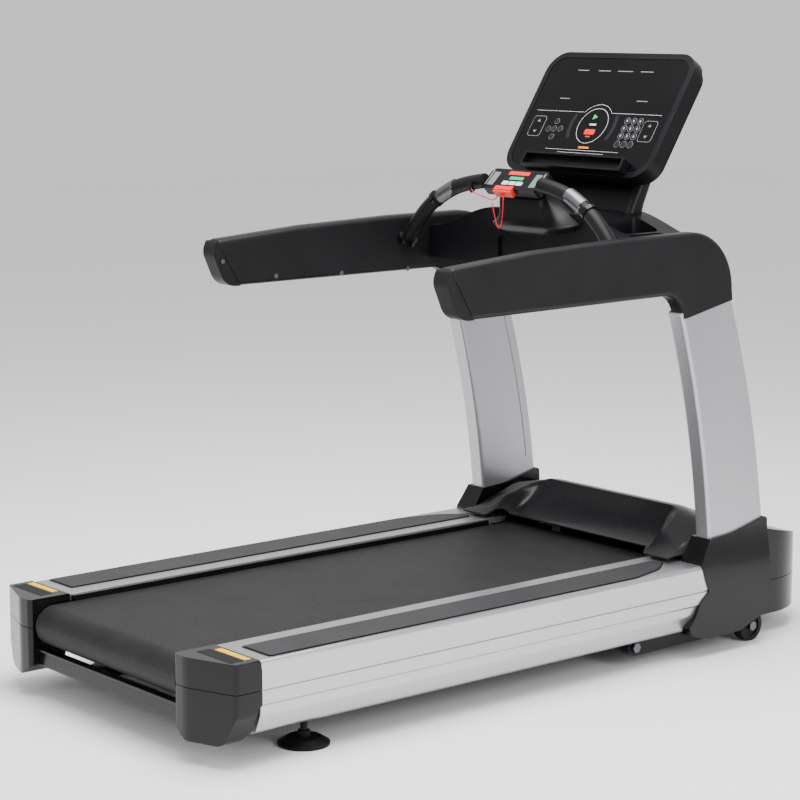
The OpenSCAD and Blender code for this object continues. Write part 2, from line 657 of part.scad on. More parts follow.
module console_panel() color([0.03, 0.03, 0.035]) on_console()
    translate([0, 0, -3]) rounded_plate(console_w - 33, console_h - 33, console_r - 16.5, 2);

ledge_s = -156;
module device_ledge() color([0.12, 0.12, 0.13]) on_console() translate([12, ledge_s, 0]) difference() {
    translate([-186, -22, 0]) cube([372, 40, 26]);
    translate([-176, -16, 8]) cube([352, 30, 30]);
}

module console_mast() color([0.08, 0.08, 0.09]) difference() {
    hull() {
        translate([0, 505, 1108]) cube([376, 60, 6], center=true);
        translate([0, 562, 1236]) cube([396, 40, 6], center=true);
    }
    translate([0, 520, 1160]) rotate([-24, 0, 0]) cube([330, 30, 140], center=true);
    run_y(bridge_y0, bridge_y1 + 10) polygon(bridge_section(0));
}

// ---- handlebars ----
bar_r = bar_d / 2;
bar_path = [[pod_w / 2 + 1, 249, 1186], [200, 245, 1172], [286, 240, 1132], [345, 236, 1084],
    [bridge_x + 12, 236, 1000]];
module handlebar() color([0.12, 0.12, 0.12]) difference() {
    handlebar_tube();
    flared() block(upright_x - arm_w + 2, upright_x + 40, 180, 300, 900, 1100);
}

module handlebar_tube() {
    for (i = [0:3]) bar(bar_path[i], bar_path[i + 1], i == 1 ? bar_r + 1 : bar_r);
    for (i = [1:3]) translate(bar_path[i]) sphere(bar_r);
    bar(bar_path[2], bar_path[2] + [6, 0, -4], bar_r + 3);
}

module sensor_plate(lift) {
    grip_dir = (bar_path[2] - bar_path[1]) / norm(bar_path[2] - bar_path[1]);
    a = bar_path[1] + 5 * grip_dir;
    b = bar_path[2] - 9 * grip_dir;
    intersection() {
        difference() {
            bar(a, b, bar_r + 3);
            bar(a - 9 * grip_dir, b + 9 * grip_dir, bar_r + 1.05);
        }
        translate((a + b) / 2 + [0, lift < 0 ? -8 : 0, lift * 22]) cube([120, 30, 34], center=true);
    }
}

module pulse_sensor_plates() color("lightgray") both_sides() for (lift = [1, -1]) sensor_plate(lift);

// ---- control pod ----
module on_pod() translate([0, pod_y, pod_z]) rotate([pod_tilt, 0, 0]) children();
well_t = 6;                        // depth of the key wells
key_top = 1.6;                     // how far the keys stand proud

module key_well(x, s, w, l) translate([x, s, -well_t])
    rounded_plate(w + 2 * key_gap, l + 2 * key_gap, 2, well_t + 1);

module key(x, s, w, l) on_pod() translate([x, s, -well_t + key_travel + 0.6])
    rounded_plate(w, l, 2 - key_gap, well_t - key_travel - 0.6 + key_top);

KEYS = [["stop", 2, 20, 76, 12], ["start", 4, 3, 50, 10], ["mode_left", -26, -14, 22, 12],
    ["mode_middle", 0, -14, 22, 12], ["mode_right", 26, -14, 22, 12],
    ["incline", -78, -2, 22, 44], ["speed", 78, -2, 22, 44]];
module key_named(i) key(KEYS[i][1], KEYS[i][2], KEYS[i][3], KEYS[i][4]);

module control_pod() color([0.1, 0.1, 0.11]) difference() {
    on_pod() {
        hull() {
            translate([0, 0, -4]) rounded_plate(pod_w, pod_l, 16, 4);
            translate([0, 4, -pod_t]) rounded_plate(pod_w - 40, pod_l - 14, 14, 4);
        }
    }
    on_pod() for (k = KEYS) key_well(k[1], k[2], k[3], k[4]);
}

// ---- safety key, its cord and clip ----
key_x = -14;
module safety_key() color("red") translate([key_x, 0, 0]) on_key() {
    translate([-33, -12, 0]) cube([66, 12, 20]);
    translate([-33, -5.5, 19]) cube([66, 12, 3]);
}
module on_key() on_pod() translate([0, -pod_l / 2 - 0.4, -17]) children();

cord_r = 1.4;
CORD = [[-124, 218, 1166], [-112, 215, 1159], [-92, 214, 1153], [-66, 214, 1148], [-38, 215, 1143],
    [-28, 218, 1149], [-20, 225, 1156], [-13, 227, 1158], [-6, 224, 1156], [-1, 217, 1147],
    [2, 214, 1130], [1, 213, 1106], [-3, 213, 1084], [-10, 213, 1073], [-18, 213, 1077], [-26, 213, 1096],
    [-34, 213, 1120], [-40, 214, 1136]];
function cord_tangent(p, i) = let (n = len(p), d = p[min(n - 1, i + 1)] - p[max(0, i - 1)]) d / norm(d);
function cord_ring(p, i) =
    let (t = cord_tangent(p, i), a = cross(t, [0, 1, 0]), u = a / norm(a), v = cross(t, u))
    [for (k = [0:7]) p[i] + cord_r * (cos(45 * k) * u + sin(45 * k) * v)];
function spline(p, i, t) =
    let (n = len(p), a = p[max(0, i - 1)], b = p[i], c = p[i + 1], d = p[min(n - 1, i + 2)])
    0.5 * (2 * b + (c - a) * t + (2 * a - 5 * b + 4 * c - d) * t * t + (3 * b - a - 3 * c + d) * t * t * t);
function cord_line(p, n) = concat(
    [for (i = [0:len(p) - 2], k = [0:n - 1]) spline(p, i, k / n)], [p[len(p) - 1]]);

module safety_lanyard() color("red") {
    line = cord_line(CORD, 4);
    last = len(line) - 1;
    points = [for (i = [0:last]) each cord_ring(line, i)];
    side = [for (i = [0:last - 1], k = [0:7]) let (a = i * 8 + k, b = i * 8 + (k + 1) % 8)
        each [[a, b, b + 8], [a, b + 8, a + 8]]];
    polyhedron(points, concat(side, [[for (k = [7:-1:0]) k]], [[for (k = [0:7]) last * 8 + k]]));
}

module lanyard_clip() color([0.15, 0.15, 0.15])
    translate(CORD[0] + [-5, 3, 5]) rotate([0, -30, 0]) cube([12, 8, 28], center=true);

// ---- feet and power inlet ----
module rear_foot() color([0.12, 0.12, 0.12]) translate([foot_x + 6, foot_y, 0]) {
    cylinder(r=59, h=6);
    translate([0, 0, 6]) cylinder(r1=59, r2=40, h=12);
    translate([0, 0, 18]) cylinder(r=14, h=14);
    cylinder(r=8, h=frame_z0 + 34);
    translate([0, 0, frame_z0 - 22]) cylinder(r=14, h=10, $fn=6);
}

module power_inlet() color([0.05, 0.05, 0.05]) difference() {
    block(-79, -31, front_y - 60, front_y - 18, 75, 103);
    block(-72, -38, front_y - 40, front_y - 17, 80, 98);
}

frame_rails();
frame_cross_members();
rear_crossbar();
side_rail();  // side_rail_right
on_side(-1) side_rail();  // side_rail_left
foot_rail_pads();
rear_end_cap();  // rear_end_cap_right
on_side(-1) rear_end_cap();  // rear_end_cap_left
running_deck();
deck_cushions();
running_belt();
belt_guides();
rear_roller();
front_roller();
roller_axles();
roller_bearings();
belt_tension_bolts();
drive_motor();
motor_shaft();
drive_belt();
motor_controller();
actuator_body();
actuator_screw();
lift_frame();
lift_pivot_bolts();
transport_wheel();  // transport_wheel_right
on_side(-1) transport_wheel();  // transport_wheel_left
wheel_bolts();
motor_hood();
front_cover();
corner_cover();  // corner_cover_right
on_side(-1) corner_cover();  // corner_cover_left
upright();  // upright_right
on_side(-1) upright();  // upright_left
arm();  // arm_right
on_side(-1) arm();  // arm_left
arm_end_tips();
arm_screws();
bridge_housing();
console_mast();
console_housing();
console_panel();
device_ledge();
handlebar();  // handlebar_right
on_side(-1) handlebar();  // handlebar_left
pulse_sensor_plates();
control_pod();
color("red") key_named(0);  // stop_key
color("green") key_named(1);  // start_key
color("white") key_named(2);  // mode_key_left
color("white") key_named(3);  // mode_key_middle
color("white") key_named(4);  // mode_key_right
color("gray") key_named(5);  // incline_toggle
color("gray") key_named(6);  // speed_toggle
safety_key();
safety_lanyard();
lanyard_clip();
rear_foot();  // rear_foot_right
on_side(-1) rear_foot();  // rear_foot_left
power_inlet();
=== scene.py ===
# %% [markdown]
# A motorised treadmill, dressed in Blender around its engineering model. The model gives every
# steel, rubber and plastic part its place; this file adds the moulded skins and every finish.
# %% Load the model
import bpy
import math
from mathutils import Vector, Matrix


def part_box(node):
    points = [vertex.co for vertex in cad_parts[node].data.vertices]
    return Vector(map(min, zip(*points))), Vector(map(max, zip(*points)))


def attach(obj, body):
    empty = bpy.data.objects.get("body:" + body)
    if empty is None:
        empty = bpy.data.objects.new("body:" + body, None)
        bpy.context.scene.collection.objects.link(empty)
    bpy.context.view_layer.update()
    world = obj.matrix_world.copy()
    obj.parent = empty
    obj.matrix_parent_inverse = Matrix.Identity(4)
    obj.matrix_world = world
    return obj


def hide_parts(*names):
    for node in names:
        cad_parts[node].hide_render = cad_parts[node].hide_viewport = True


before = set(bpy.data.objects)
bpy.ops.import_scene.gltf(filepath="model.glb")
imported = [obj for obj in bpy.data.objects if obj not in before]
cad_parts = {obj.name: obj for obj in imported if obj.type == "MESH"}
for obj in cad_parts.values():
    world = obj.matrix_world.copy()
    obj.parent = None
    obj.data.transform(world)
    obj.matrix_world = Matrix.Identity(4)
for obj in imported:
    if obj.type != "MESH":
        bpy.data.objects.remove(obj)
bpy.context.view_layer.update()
print("model nodes:", len(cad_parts))

# %% [markdown]
# The camera comes first, so that every later choice can be judged from the same place. A long lens
# a few metres away keeps the rails nearly parallel, as a catalogue view does.
# %% Camera
VIEW_TURN = math.radians(50.3)
VIEW_DIP = math.radians(9.3)
look = Vector((-math.sin(VIEW_TURN) * math.cos(VIEW_DIP), math.cos(VIEW_TURN) * math.cos(VIEW_DIP),
               -math.sin(VIEW_DIP)))
camera_data = bpy.data.cameras.new("catalogue_camera")
camera_data.lens = 106.4
camera_data.sensor_width = 36
camera = bpy.data.objects.new("catalogue_camera", camera_data)
camera.location = (4.454, -3.822, 1.614)
camera.rotation_euler = look.to_track_quat("-Z", "Y").to_euler()
bpy.context.scene.collection.objects.link(camera)
bpy.context.scene.camera = camera
print("camera looks along", [round(c, 3) for c in look])

# %% [markdown]
# Sizes that several skins share are read from the model's nodes, so that a skin always fits its part.
# %% Shared sizes
def extent(node):
    low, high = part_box(node)
    return Vector(low), Vector(high)

rail_low, rail_high = extent("side_rail_right")
belt_low, belt_high = extent("running_belt")
cap_low, cap_high = extent("rear_end_cap_right")
post_low, post_high = extent("upright_right")
cover_low, cover_high = extent("corner_cover_right")
FRONT_END = extent("front_cover")[1].y
SEAM_SHARE = 0.62       # how far up the rail its seam groove runs
print("rail from", round(rail_low.y, 3), "to", round(rail_high.y, 3))

# %% [markdown]
# Blender's operators act on whatever is selected. These helpers clear the selection, name the new
# object and write its place into its mesh, so that each piece sits at the origin like a model node.
# %% Helpers for making pieces
def start_clean():
    if bpy.context.object and bpy.context.object.mode != "OBJECT":
        bpy.ops.object.mode_set(mode="OBJECT")
    bpy.ops.object.select_all(action="DESELECT")

def take(name):
    piece = bpy.context.object
    piece.name = name
    piece.data.name = name
    bpy.ops.object.transform_apply(location=True, rotation=True, scale=True)
    return piece

def only(piece):
    start_clean()
    piece.select_set(True)
    bpy.context.view_layer.objects.active = piece

def edit_all(piece):
    only(piece)
    bpy.ops.object.mode_set(mode="EDIT")
    bpy.ops.mesh.select_all(action="SELECT")

def face_outward(piece):
    edit_all(piece)
    bpy.ops.mesh.normals_make_consistent(inside=False)
    bpy.ops.object.mode_set(mode="OBJECT")

def modify(piece, kind, **settings):
    only(piece)
    step = piece.modifiers.new(kind.lower(), kind)
    for key, value in settings.items():
        setattr(step, key, value)
    bpy.ops.object.modifier_apply(modifier=step.name)

def smooth(piece, angle=35):
    only(piece)
    bpy.ops.object.shade_smooth_by_angle(angle=math.radians(angle))

def round_edges(piece, width, segments=3, angle=38, clamp=True):
    modify(piece, "BEVEL", width=width, segments=segments, limit_method="ANGLE",
           angle_limit=math.radians(angle), use_clamp_overlap=clamp, harden_normals=False)
    smooth(piece, 50)

# %% [markdown]
# Most skins are moulded plates: an outline pushed through a thickness, with its rim rounded. A round
# corner is one point with a radius, and the helper turns it into an arc.
# %% Outlines with round corners
def rounded(points, steps=6):
    ring = []
    for i, (u, v, r) in enumerate(points):
        here = Vector((u, v))
        if r == 0:
            ring.append(here)
            continue
        back = Vector(points[i - 1][:2]) - here
        on = Vector(points[(i + 1) % len(points)][:2]) - here
        half = back.angle(on) / 2
        reach = min(r / math.tan(half), back.length * 0.49, on.length * 0.49)
        middle = here + (back.normalized() + on.normalized()).normalized() * (reach / math.cos(half))
        a = here + back.normalized() * reach - middle
        b = here + on.normalized() * reach - middle
        turn = a.angle_signed(b)
        for k in range(steps + 1):
            ring.append(middle + Matrix.Rotation(-turn * k / steps, 2) @ a)
    return ring

def oblong(u0, u1, v0, v1, r, steps=6):
    return rounded([(u0, v0, r), (u1, v0, r), (u1, v1, r), (u0, v1, r)], steps)

def ease(t):
    """0 to 1 with a soft start and a soft end."""
    t = min(1.0, max(0.0, t))
    return t * t * (3 - 2 * t)

def plate(name, ring, thickness, turn=(0, 0, 0), place=(0, 0, 0), rim=0.0, segments=3):
    """A filled outline, extruded from 0 to thickness along its own Z, then turned and placed."""
    start_clean()
    flat = bpy.data.curves.new(name, "CURVE")
    flat.dimensions = "2D"
    flat.fill_mode = "BOTH"
    flat.extrude = thickness / 2
    line = flat.splines.new("POLY")
    line.points.add(len(ring) - 1)
    for point, at in zip(line.points, ring):
        point.co = (at[0], at[1], 0, 1)
    line.use_cyclic_u = True
    piece = bpy.data.objects.new(name, flat)
    bpy.context.scene.collection.objects.link(piece)
    only(piece)
    bpy.ops.object.convert(target="MESH")
    piece = bpy.context.object
    piece.data.transform(Matrix.Translation((0, 0, thickness / 2)))
    piece.rotation_euler = turn
    piece.location = place
    take(name)
    edit_all(piece)
    bpy.ops.mesh.remove_doubles(threshold=0.00002)
    face_outward(piece)
    if rim:
        round_edges(piece, rim, segments)
    return piece

SIDEWAYS = (math.radians(90), 0, math.radians(90))   # outline drawn in (y, z), pushed along +X
LENGTHWAYS = (math.radians(90), 0, 0)                # outline drawn in (x, z), pushed along -Y

def side_plate(name, ring, x0, x1, rim=0.0, segments=3):
    return plate(name, ring, x1 - x0, SIDEWAYS, (x0, 0, 0), rim, segments)

def long_plate(name, ring, y0, y1, rim=0.0, segments=3):
    return plate(name, ring, y1 - y0, LENGTHWAYS, (0, y1, 0), rim, segments)

def mirrored(piece, name):
    start_clean()
    twin = piece.copy()
    twin.data = piece.data.copy()
    twin.name = name
    twin.data.name = name
    bpy.context.scene.collection.objects.link(twin)
    only(twin)
    bpy.ops.mesh.customdata_custom_splitnormals_clear()
    twin.data.transform(Matrix.Scale(-1, 4, (1, 0, 0)))
    face_outward(twin)
    return twin

def tube(name, points, radius, sides=6, smooth_line=True):
    """A round bar along a list of points, closed at both ends."""
    start_clean()
    line = bpy.data.curves.new(name, "CURVE")
    line.dimensions = "3D"
    line.bevel_depth = radius
    line.bevel_resolution = sides
    line.use_fill_caps = True
    line.resolution_u = 10
    run = line.splines.new("NURBS" if smooth_line else "POLY")
    run.points.add(len(points) - 1)
    for point, at in zip(run.points, points):
        point.co = (*at, 1)
    if smooth_line:
        run.order_u = 4
        run.use_endpoint_u = True
    piece = bpy.data.objects.new(name, line)
    bpy.context.scene.collection.objects.link(piece)
    only(piece)
    bpy.ops.object.convert(target="MESH")
    piece = take(name)
    smooth(piece, 60)
    return piece

def cut(piece, tool):
    modify(piece, "BOOLEAN", object=tool, operation="DIFFERENCE", solver="EXACT")
    bpy.data.objects.remove(tool)

def intersect(piece, tool):
    modify(piece, "BOOLEAN", object=tool, operation="INTERSECT", solver="EXACT")
    bpy.data.objects.remove(tool)

def trim(piece, at, normal):
    """Cuts off what lies on the normal's side of a plane, and closes the cut."""
    edit_all(piece)
    bpy.ops.mesh.bisect(plane_co=at, plane_no=normal, use_fill=True, clear_outer=True)
    face_outward(piece)

def join_flats(piece):
    """Joins the triangles of each flat face into one, so that it shades evenly."""
    edit_all(piece)
    bpy.ops.mesh.dissolve_limited(angle_limit=math.radians(0.3))
    bpy.ops.object.mode_set(mode="OBJECT")

def box_tool(low, high):
    start_clean()
    middle = [(a + b) / 2 for a, b in zip(low, high)]
    bpy.ops.mesh.primitive_cube_add(size=1, location=middle)
    bpy.context.object.scale = [b - a for a, b in zip(low, high)]
    return take("cutter")

# %% [markdown]
# A finish is more than a colour. Each one starts from a base colour, mottles it a little with soft
# noise, and adds a fine bump at the real grain's size, so that large faces never look dead.
# %% Helper for finishes
finishes = {}

def finish(name, colour, rough, metal=0.0, grain=900.0, bump=0.08, mottle=0.12, depth=0.0004,
           stretch=(1, 1, 1), coat=0.0, gloss=0.16):
    material = bpy.data.materials.new(name)
    material.use_nodes = True
    nodes, links = material.node_tree.nodes, material.node_tree.links
    shader = nodes["Principled BSDF"]
    shader.inputs["Metallic"].default_value = metal
    shader.inputs["Coat Weight"].default_value = coat
    shader.inputs["Coat Roughness"].default_value = 0.12
    shader.inputs["Specular IOR Level"].default_value = gloss if metal == 0 else 0.5
    place = nodes.new("ShaderNodeTexCoord")
    spread = nodes.new("ShaderNodeMapping")
    spread.inputs["Scale"].default_value = stretch
    links.new(place.outputs["Object"], spread.inputs["Vector"])
    cloud = nodes.new("ShaderNodeTexNoise")
    cloud.inputs["Scale"].default_value = 9.0
    cloud.inputs["Detail"].default_value = 5.0
    links.new(spread.outputs["Vector"], cloud.inputs["Vector"])
    tint = nodes.new("ShaderNodeValToRGB")
    tint.color_ramp.elements[0].position = 0.3
    tint.color_ramp.elements[1].position = 0.7
    tint.color_ramp.elements[0].color = (*[c * (1 - mottle) for c in colour], 1)
    tint.color_ramp.elements[1].color = (*[min(1, c * (1 + mottle)) for c in colour], 1)
    links.new(cloud.outputs["Fac"], tint.inputs["Fac"])
    links.new(tint.outputs["Color"], shader.inputs["Base Color"])
    fine = nodes.new("ShaderNodeTexNoise")
    fine.inputs["Scale"].default_value = grain
    fine.inputs["Detail"].default_value = 3.0
    links.new(spread.outputs["Vector"], fine.inputs["Vector"])
    wear = nodes.new("ShaderNodeMapRange")
    wear.inputs["To Min"].default_value = max(0.02, rough - 0.07)
    wear.inputs["To Max"].default_value = min(1, rough + 0.07)
    links.new(cloud.outputs["Fac"], wear.inputs["Value"])
    links.new(wear.outputs["Result"], shader.inputs["Roughness"])
    relief = nodes.new("ShaderNodeBump")
    relief.inputs["Strength"].default_value = bump
    relief.inputs["Distance"].default_value = depth
    links.new(fine.outputs["Fac"], relief.inputs["Height"])
    links.new(relief.outputs["Normal"], shader.inputs["Normal"])
    finishes[name] = material
    return material

def dress(piece, name):
    piece.data.materials.clear()
    piece.data.materials.append(finishes[name])

# %% [markdown]
# The plastics are dark but not pure black, because a real moulding scatters a little light. The arms
# have a leathery grain, the motor hood is smoother and greyer, and the covers have the most gloss.
# %% Plastics, rubbers and metals
finish("moulded_black", (0.0030, 0.0030, 0.0035), 0.22, grain=700, bump=0.05, coat=0.22)
finish("arm_skin", (0.0075, 0.0075, 0.0085), 0.40, grain=620, bump=0.22)
finish("hood_skin", (0.011, 0.0105, 0.012), 0.27, grain=500, bump=0.05, coat=0.1)
finish("console_skin", (0.0045, 0.0045, 0.0055), 0.34, grain=800, bump=0.10)
finish("panel_glass", (0.0015, 0.0015, 0.002), 0.24, grain=200, bump=0.01)
finish("grip_rubber", (0.006, 0.006, 0.007), 0.42, grain=500, bump=0.30)
finish("black_paint", (0.006, 0.006, 0.007), 0.35, grain=600, bump=0.1)
finish("wheel_rubber", (0.006, 0.006, 0.006), 0.55, grain=400, bump=0.2)
finish("silver_paint", (0.43, 0.42, 0.445), 0.33, metal=0.8, grain=1500, bump=0.05, mottle=0.02,
       stretch=(1, 1, 0.05))
finish("satin_aluminium", (0.50, 0.49, 0.515), 0.29, metal=0.85, grain=420, bump=0.06, mottle=0.03,
       stretch=(1, 0.02, 1))
finish("turned_steel", (0.55, 0.55, 0.57), 0.3, metal=1.0, grain=300, bump=0.06, stretch=(0.05, 1, 1))
finish("sensor_metal", (0.15, 0.15, 0.16), 0.34, metal=0.9, grain=900, bump=0.05, mottle=0.05)
finish("zinc", (0.13, 0.13, 0.14), 0.35, metal=1.0, grain=400, bump=0.08)
finish("deck_board", (0.12, 0.08, 0.05), 0.5, grain=120, bump=0.15, stretch=(1, 0.1, 1))
for name, colour in (("red_plastic", (0.72, 0.03, 0.02)), ("green_plastic", (0.03, 0.38, 0.16))):
    finish(name, colour, 0.35, grain=300, bump=0.03, mottle=0.04)
finish("white_plastic", (0.6, 0.6, 0.6), 0.4, grain=300, bump=0.03, mottle=0.04)
finish("grey_plastic", (0.16, 0.16, 0.17), 0.42, grain=300, bump=0.06, mottle=0.06)
finish("red_cord", (0.55, 0.01, 0.015), 0.55, grain=1400, bump=0.5)
for name, colour, rough in (
        ("print_white", (0.55, 0.55, 0.57), 0.5), ("print_orange", (0.75, 0.22, 0.04), 0.5),
        ("print_grey", (0.20, 0.20, 0.21), 0.5), ("print_red", (0.6, 0.03, 0.02), 0.4),
        ("print_green", (0.04, 0.45, 0.12), 0.4)):
    finish(name, colour, rough, grain=200, bump=0.01, mottle=0.02)
finish("print_dim", (0.012, 0.012, 0.014), 0.35, grain=200, bump=0.02, mottle=0.04)
finish("label_yellow", (0.86, 0.52, 0.0), 0.45, grain=300, bump=0.02, mottle=0.04)
finish("label_black", (0.006, 0.006, 0.006), 0.5, grain=90, bump=0.3, mottle=0.5)
print("finishes:", len(finishes))

# %% [markdown]
# The belt is black rubber with a fine diamond relief that grips a shoe. Two sets of crossed waves,
# a few millimetres apart, make the diamonds. The pads take one set alone, which gives them ribs.
# %% Belt and ribbed pads
def woven_finish(name, colour, rough, pitch, bump, crossed=True):
    material = finish(name, colour, rough, grain=260, bump=0.2, mottle=0.22)
    nodes, links = material.node_tree.nodes, material.node_tree.links
    shader = nodes["Principled BSDF"]
    coordinates = nodes["Texture Coordinate"]
    heights = []
    for side in ((1, -1) if crossed else (0,)):
        turn = nodes.new("ShaderNodeMapping")
        turn.inputs["Rotation"].default_value = (0, 0, side * math.radians(45))
        wave = nodes.new("ShaderNodeTexWave")
        wave.bands_direction = "X"
        wave.inputs["Scale"].default_value = 0.314 / pitch
        links.new(coordinates.outputs["Object"], turn.inputs["Vector"])
        links.new(turn.outputs["Vector"], wave.inputs["Vector"])
        heights.append(wave)
    top = heights[0].outputs["Fac"]
    if crossed:
        join = nodes.new("ShaderNodeMath")
        join.operation = "MULTIPLY"
        links.new(heights[0].outputs["Fac"], join.inputs[0])
        links.new(heights[1].outputs["Fac"], join.inputs[1])
        top = join.outputs["Value"]
    relief = nodes.new("ShaderNodeBump")
    relief.inputs["Strength"].default_value = bump
    relief.inputs["Distance"].default_value = 0.001
    links.new(top, relief.inputs["Height"])
    links.new(nodes["Bump"].outputs["Normal"], relief.inputs["Normal"])
    links.new(relief.outputs["Normal"], shader.inputs["Normal"])
    return material

woven_finish("belt_face", (0.015, 0.0148, 0.016), 0.50, 0.0042, 0.5)
woven_finish("ribbed_pad", (0.030, 0.030, 0.032), 0.42, 0.0045, 0.6, crossed=False)
print("belt and pad finishes made")

# %% [markdown]
# The red safety cord is laid next, because its route is fixed by the model. It leaves its clip by
# the left handlebar, runs to the key, hangs in a loop and ends close to its own first run.
# %% Safety cord
CORD_WIDTH = 0.0028
CORD_ROUTE = [(-124, 218, 1166), (-112, 215, 1159), (-92, 214, 1153), (-66, 214, 1148),
              (-38, 215, 1143), (-28, 218, 1149), (-20, 225, 1156), (-13, 227, 1158), (-6, 224, 1156),
              (-1, 217, 1147), (2, 214, 1130), (1, 213, 1106), (-3, 213, 1084), (-10, 213, 1073),
              (-18, 213, 1077), (-26, 213, 1096), (-34, 213, 1120), (-40, 214, 1136)]
route = [Vector(p) / 1000 for p in CORD_ROUTE]

def between(points, i, t):
    a, b = points[max(0, i - 1)], points[i]
    c, d = points[i + 1], points[min(len(points) - 1, i + 2)]
    return 0.5 * (2 * b + (c - a) * t + (2 * a - 5 * b + 4 * c - d) * t * t
                  + (3 * b - a - 3 * c + d) * t ** 3)

cord_line = [between(route, i, k / 4) for i in range(len(route) - 1) for k in range(4)] + [route[-1]]
cord = tube("safety_cord", cord_line, CORD_WIDTH / 2, 3, smooth_line=False)
dress(cord, "red_cord")
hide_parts("safety_lanyard")
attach(cord, "safety")

# %% [markdown]
# Hidden machinery and small hard parts keep the model's own meshes, which already have the right
# shape. Each only needs the finish that its real material has.
# %% Finishes for the model's own parts
MODEL_FINISH = {
    "black_paint": ["frame_rails", "frame_cross_members", "drive_motor", "actuator_body", "lift_frame"],
    "moulded_black": ["belt_guides", "power_inlet", "lanyard_clip"],
    "wheel_rubber": ["deck_cushions", "drive_belt", "transport_wheel_right", "transport_wheel_left",
                     "rear_foot_right", "rear_foot_left"],
    "turned_steel": ["rear_roller", "front_roller", "roller_axles", "roller_bearings", "motor_shaft",
                     "actuator_screw"],
    "zinc": ["belt_tension_bolts", "lift_pivot_bolts", "wheel_bolts"],
    "grip_rubber": ["handlebar_right", "handlebar_left"],
    "grey_plastic": ["speed_toggle", "incline_toggle", "motor_controller"],
    "deck_board": ["running_deck"],
    "red_plastic": ["stop_key", "safety_key"],
    "green_plastic": ["start_key"],
    "white_plastic": ["mode_key_left", "mode_key_middle", "mode_key_right"],
}
for name, parts in MODEL_FINISH.items():
    for part in parts:
        dress(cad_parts[part], name)

def settle(piece, node, finish_name, body="base"):
    modify(piece, "WEIGHTED_NORMAL", keep_sharp=True, weight=60)
    dress(piece, finish_name)
    if node:
        for one in ([node] if isinstance(node, str) else node):
            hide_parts(one)
    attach(piece, body)
    return piece

def settle_pair(piece, nodes, finish_name, left_name):
    settle(piece, nodes[0], finish_name)
    twin = mirrored(piece, left_name)
    settle(twin, nodes[1], finish_name)
    return twin

# %% [markdown]
# The belt is one loop of rubber pulled around both rollers. Its section is a long slot shape, so a
# round-ended outline is enough, with a second, smaller one cut out of it.
# %% Running belt
ROLLER_Z = (belt_low.z + belt_high.z) / 2
WRAP = (belt_high.z - belt_low.z) / 2
BELT_T = 0.003

def slot_shape(grow):
    half = WRAP + grow
    y0, y1 = belt_low.y - grow, belt_high.y + grow
    return rounded([(y0, ROLLER_Z - half, half), (y1, ROLLER_Z - half, half),
                    (y1, ROLLER_Z + half, half), (y0, ROLLER_Z + half, half)], 24)

belt = side_plate("belt", slot_shape(0), belt_low.x, belt_high.x)
inside = side_plate("belt_inside", slot_shape(-BELT_T), belt_low.x - 0.1, belt_high.x + 0.1)
cut(belt, inside)
round_edges(belt, 0.0008, 2, 50)
settle(belt, "running_belt", "belt_face")
print("belt", len(belt.data.polygons), "faces")

# %% [markdown]
# Each side rail is an aluminium extrusion, so one section pushed along the treadmill gives its rounded
# top edge, the seam groove above its middle and the rounded lower edge.
# %% Side rails
def rail_section(x, top, bottom):
    seam = bottom + SEAM_SHARE * (top - bottom)
    inner = x - 0.168
    return rounded([(inner, top, 0.001), (x, top, 0.011), (x, seam + 0.0018, 0.001),
                    (x - 0.003, seam + 0.0012, 0), (x - 0.003, seam - 0.0012, 0), (x, seam - 0.0018, 0.001),
                    (x - 0.0005, bottom + 0.076, 0.002), (x - 0.0045, bottom + 0.071, 0.002),
                    (x - 0.0065, bottom + 0.050, 0.03), (x - 0.026, bottom + 0.006, 0.022),
                    (x - 0.042, bottom, 0.003), (x - 0.042, bottom + 0.004, 0),
                    (x - 0.030, bottom + 0.012, 0.01), (x - 0.010, bottom + 0.07, 0.02),
                    (x - 0.008, top - 0.008, 0.004),
                    (inner + 0.004, top - 0.006, 0), (inner + 0.004, belt_high.z, 0),
                    (inner, belt_high.z, 0)], 5)

rail = long_plate("side_rail_skin_right", rail_section(rail_high.x, rail_high.z, rail_low.z),
                  rail_low.y, rail_high.y)
smooth(rail, 30)
settle_pair(rail, ("side_rail_right", "side_rail_left"), "satin_aluminium",
            "side_rail_skin_left")
print("rail section", len(rail.data.polygons), "faces")

# %% [markdown]
# The standing pads beside the belt are ribbed rubber with a plain dark border. The front end tapers
# to one side in a long curve, so the outline does that and the border is a slightly larger plate.
# %% Foot pads
pad_low, pad_high = extent("foot_rail_pads")
PAD_IN, PAD_OUT = 0.349, pad_high.x

def pad_shape(g):
    y0, y1 = pad_low.y + g, pad_high.y - g
    return rounded([(PAD_IN + g, y0, 0.006), (PAD_OUT - g, y0, 0.008), (PAD_OUT - g, y1 - 0.17, 0.2),
                    (PAD_OUT - 0.03 - g, y1 - 0.06, 0.12), (PAD_IN + 0.03, y1, 0.02),
                    (PAD_IN + g, y1 - 0.012, 0.012)], 6)

border = plate("pad_border_right", pad_shape(0), 0.0015, place=(0, 0, pad_low.z), rim=0.0005, segments=2)
settle_pair(border, ("foot_rail_pads", None), "moulded_black", "pad_border_left")
ribs = plate("pad_ribs_right", pad_shape(0.0035), 0.003, place=(0, 0, pad_low.z), rim=0.0008, segments=2)
settle_pair(ribs, (None, None), "ribbed_pad", "pad_ribs_left")
print("pads from", round(pad_low.y, 3), "to", round(pad_high.y, 3))

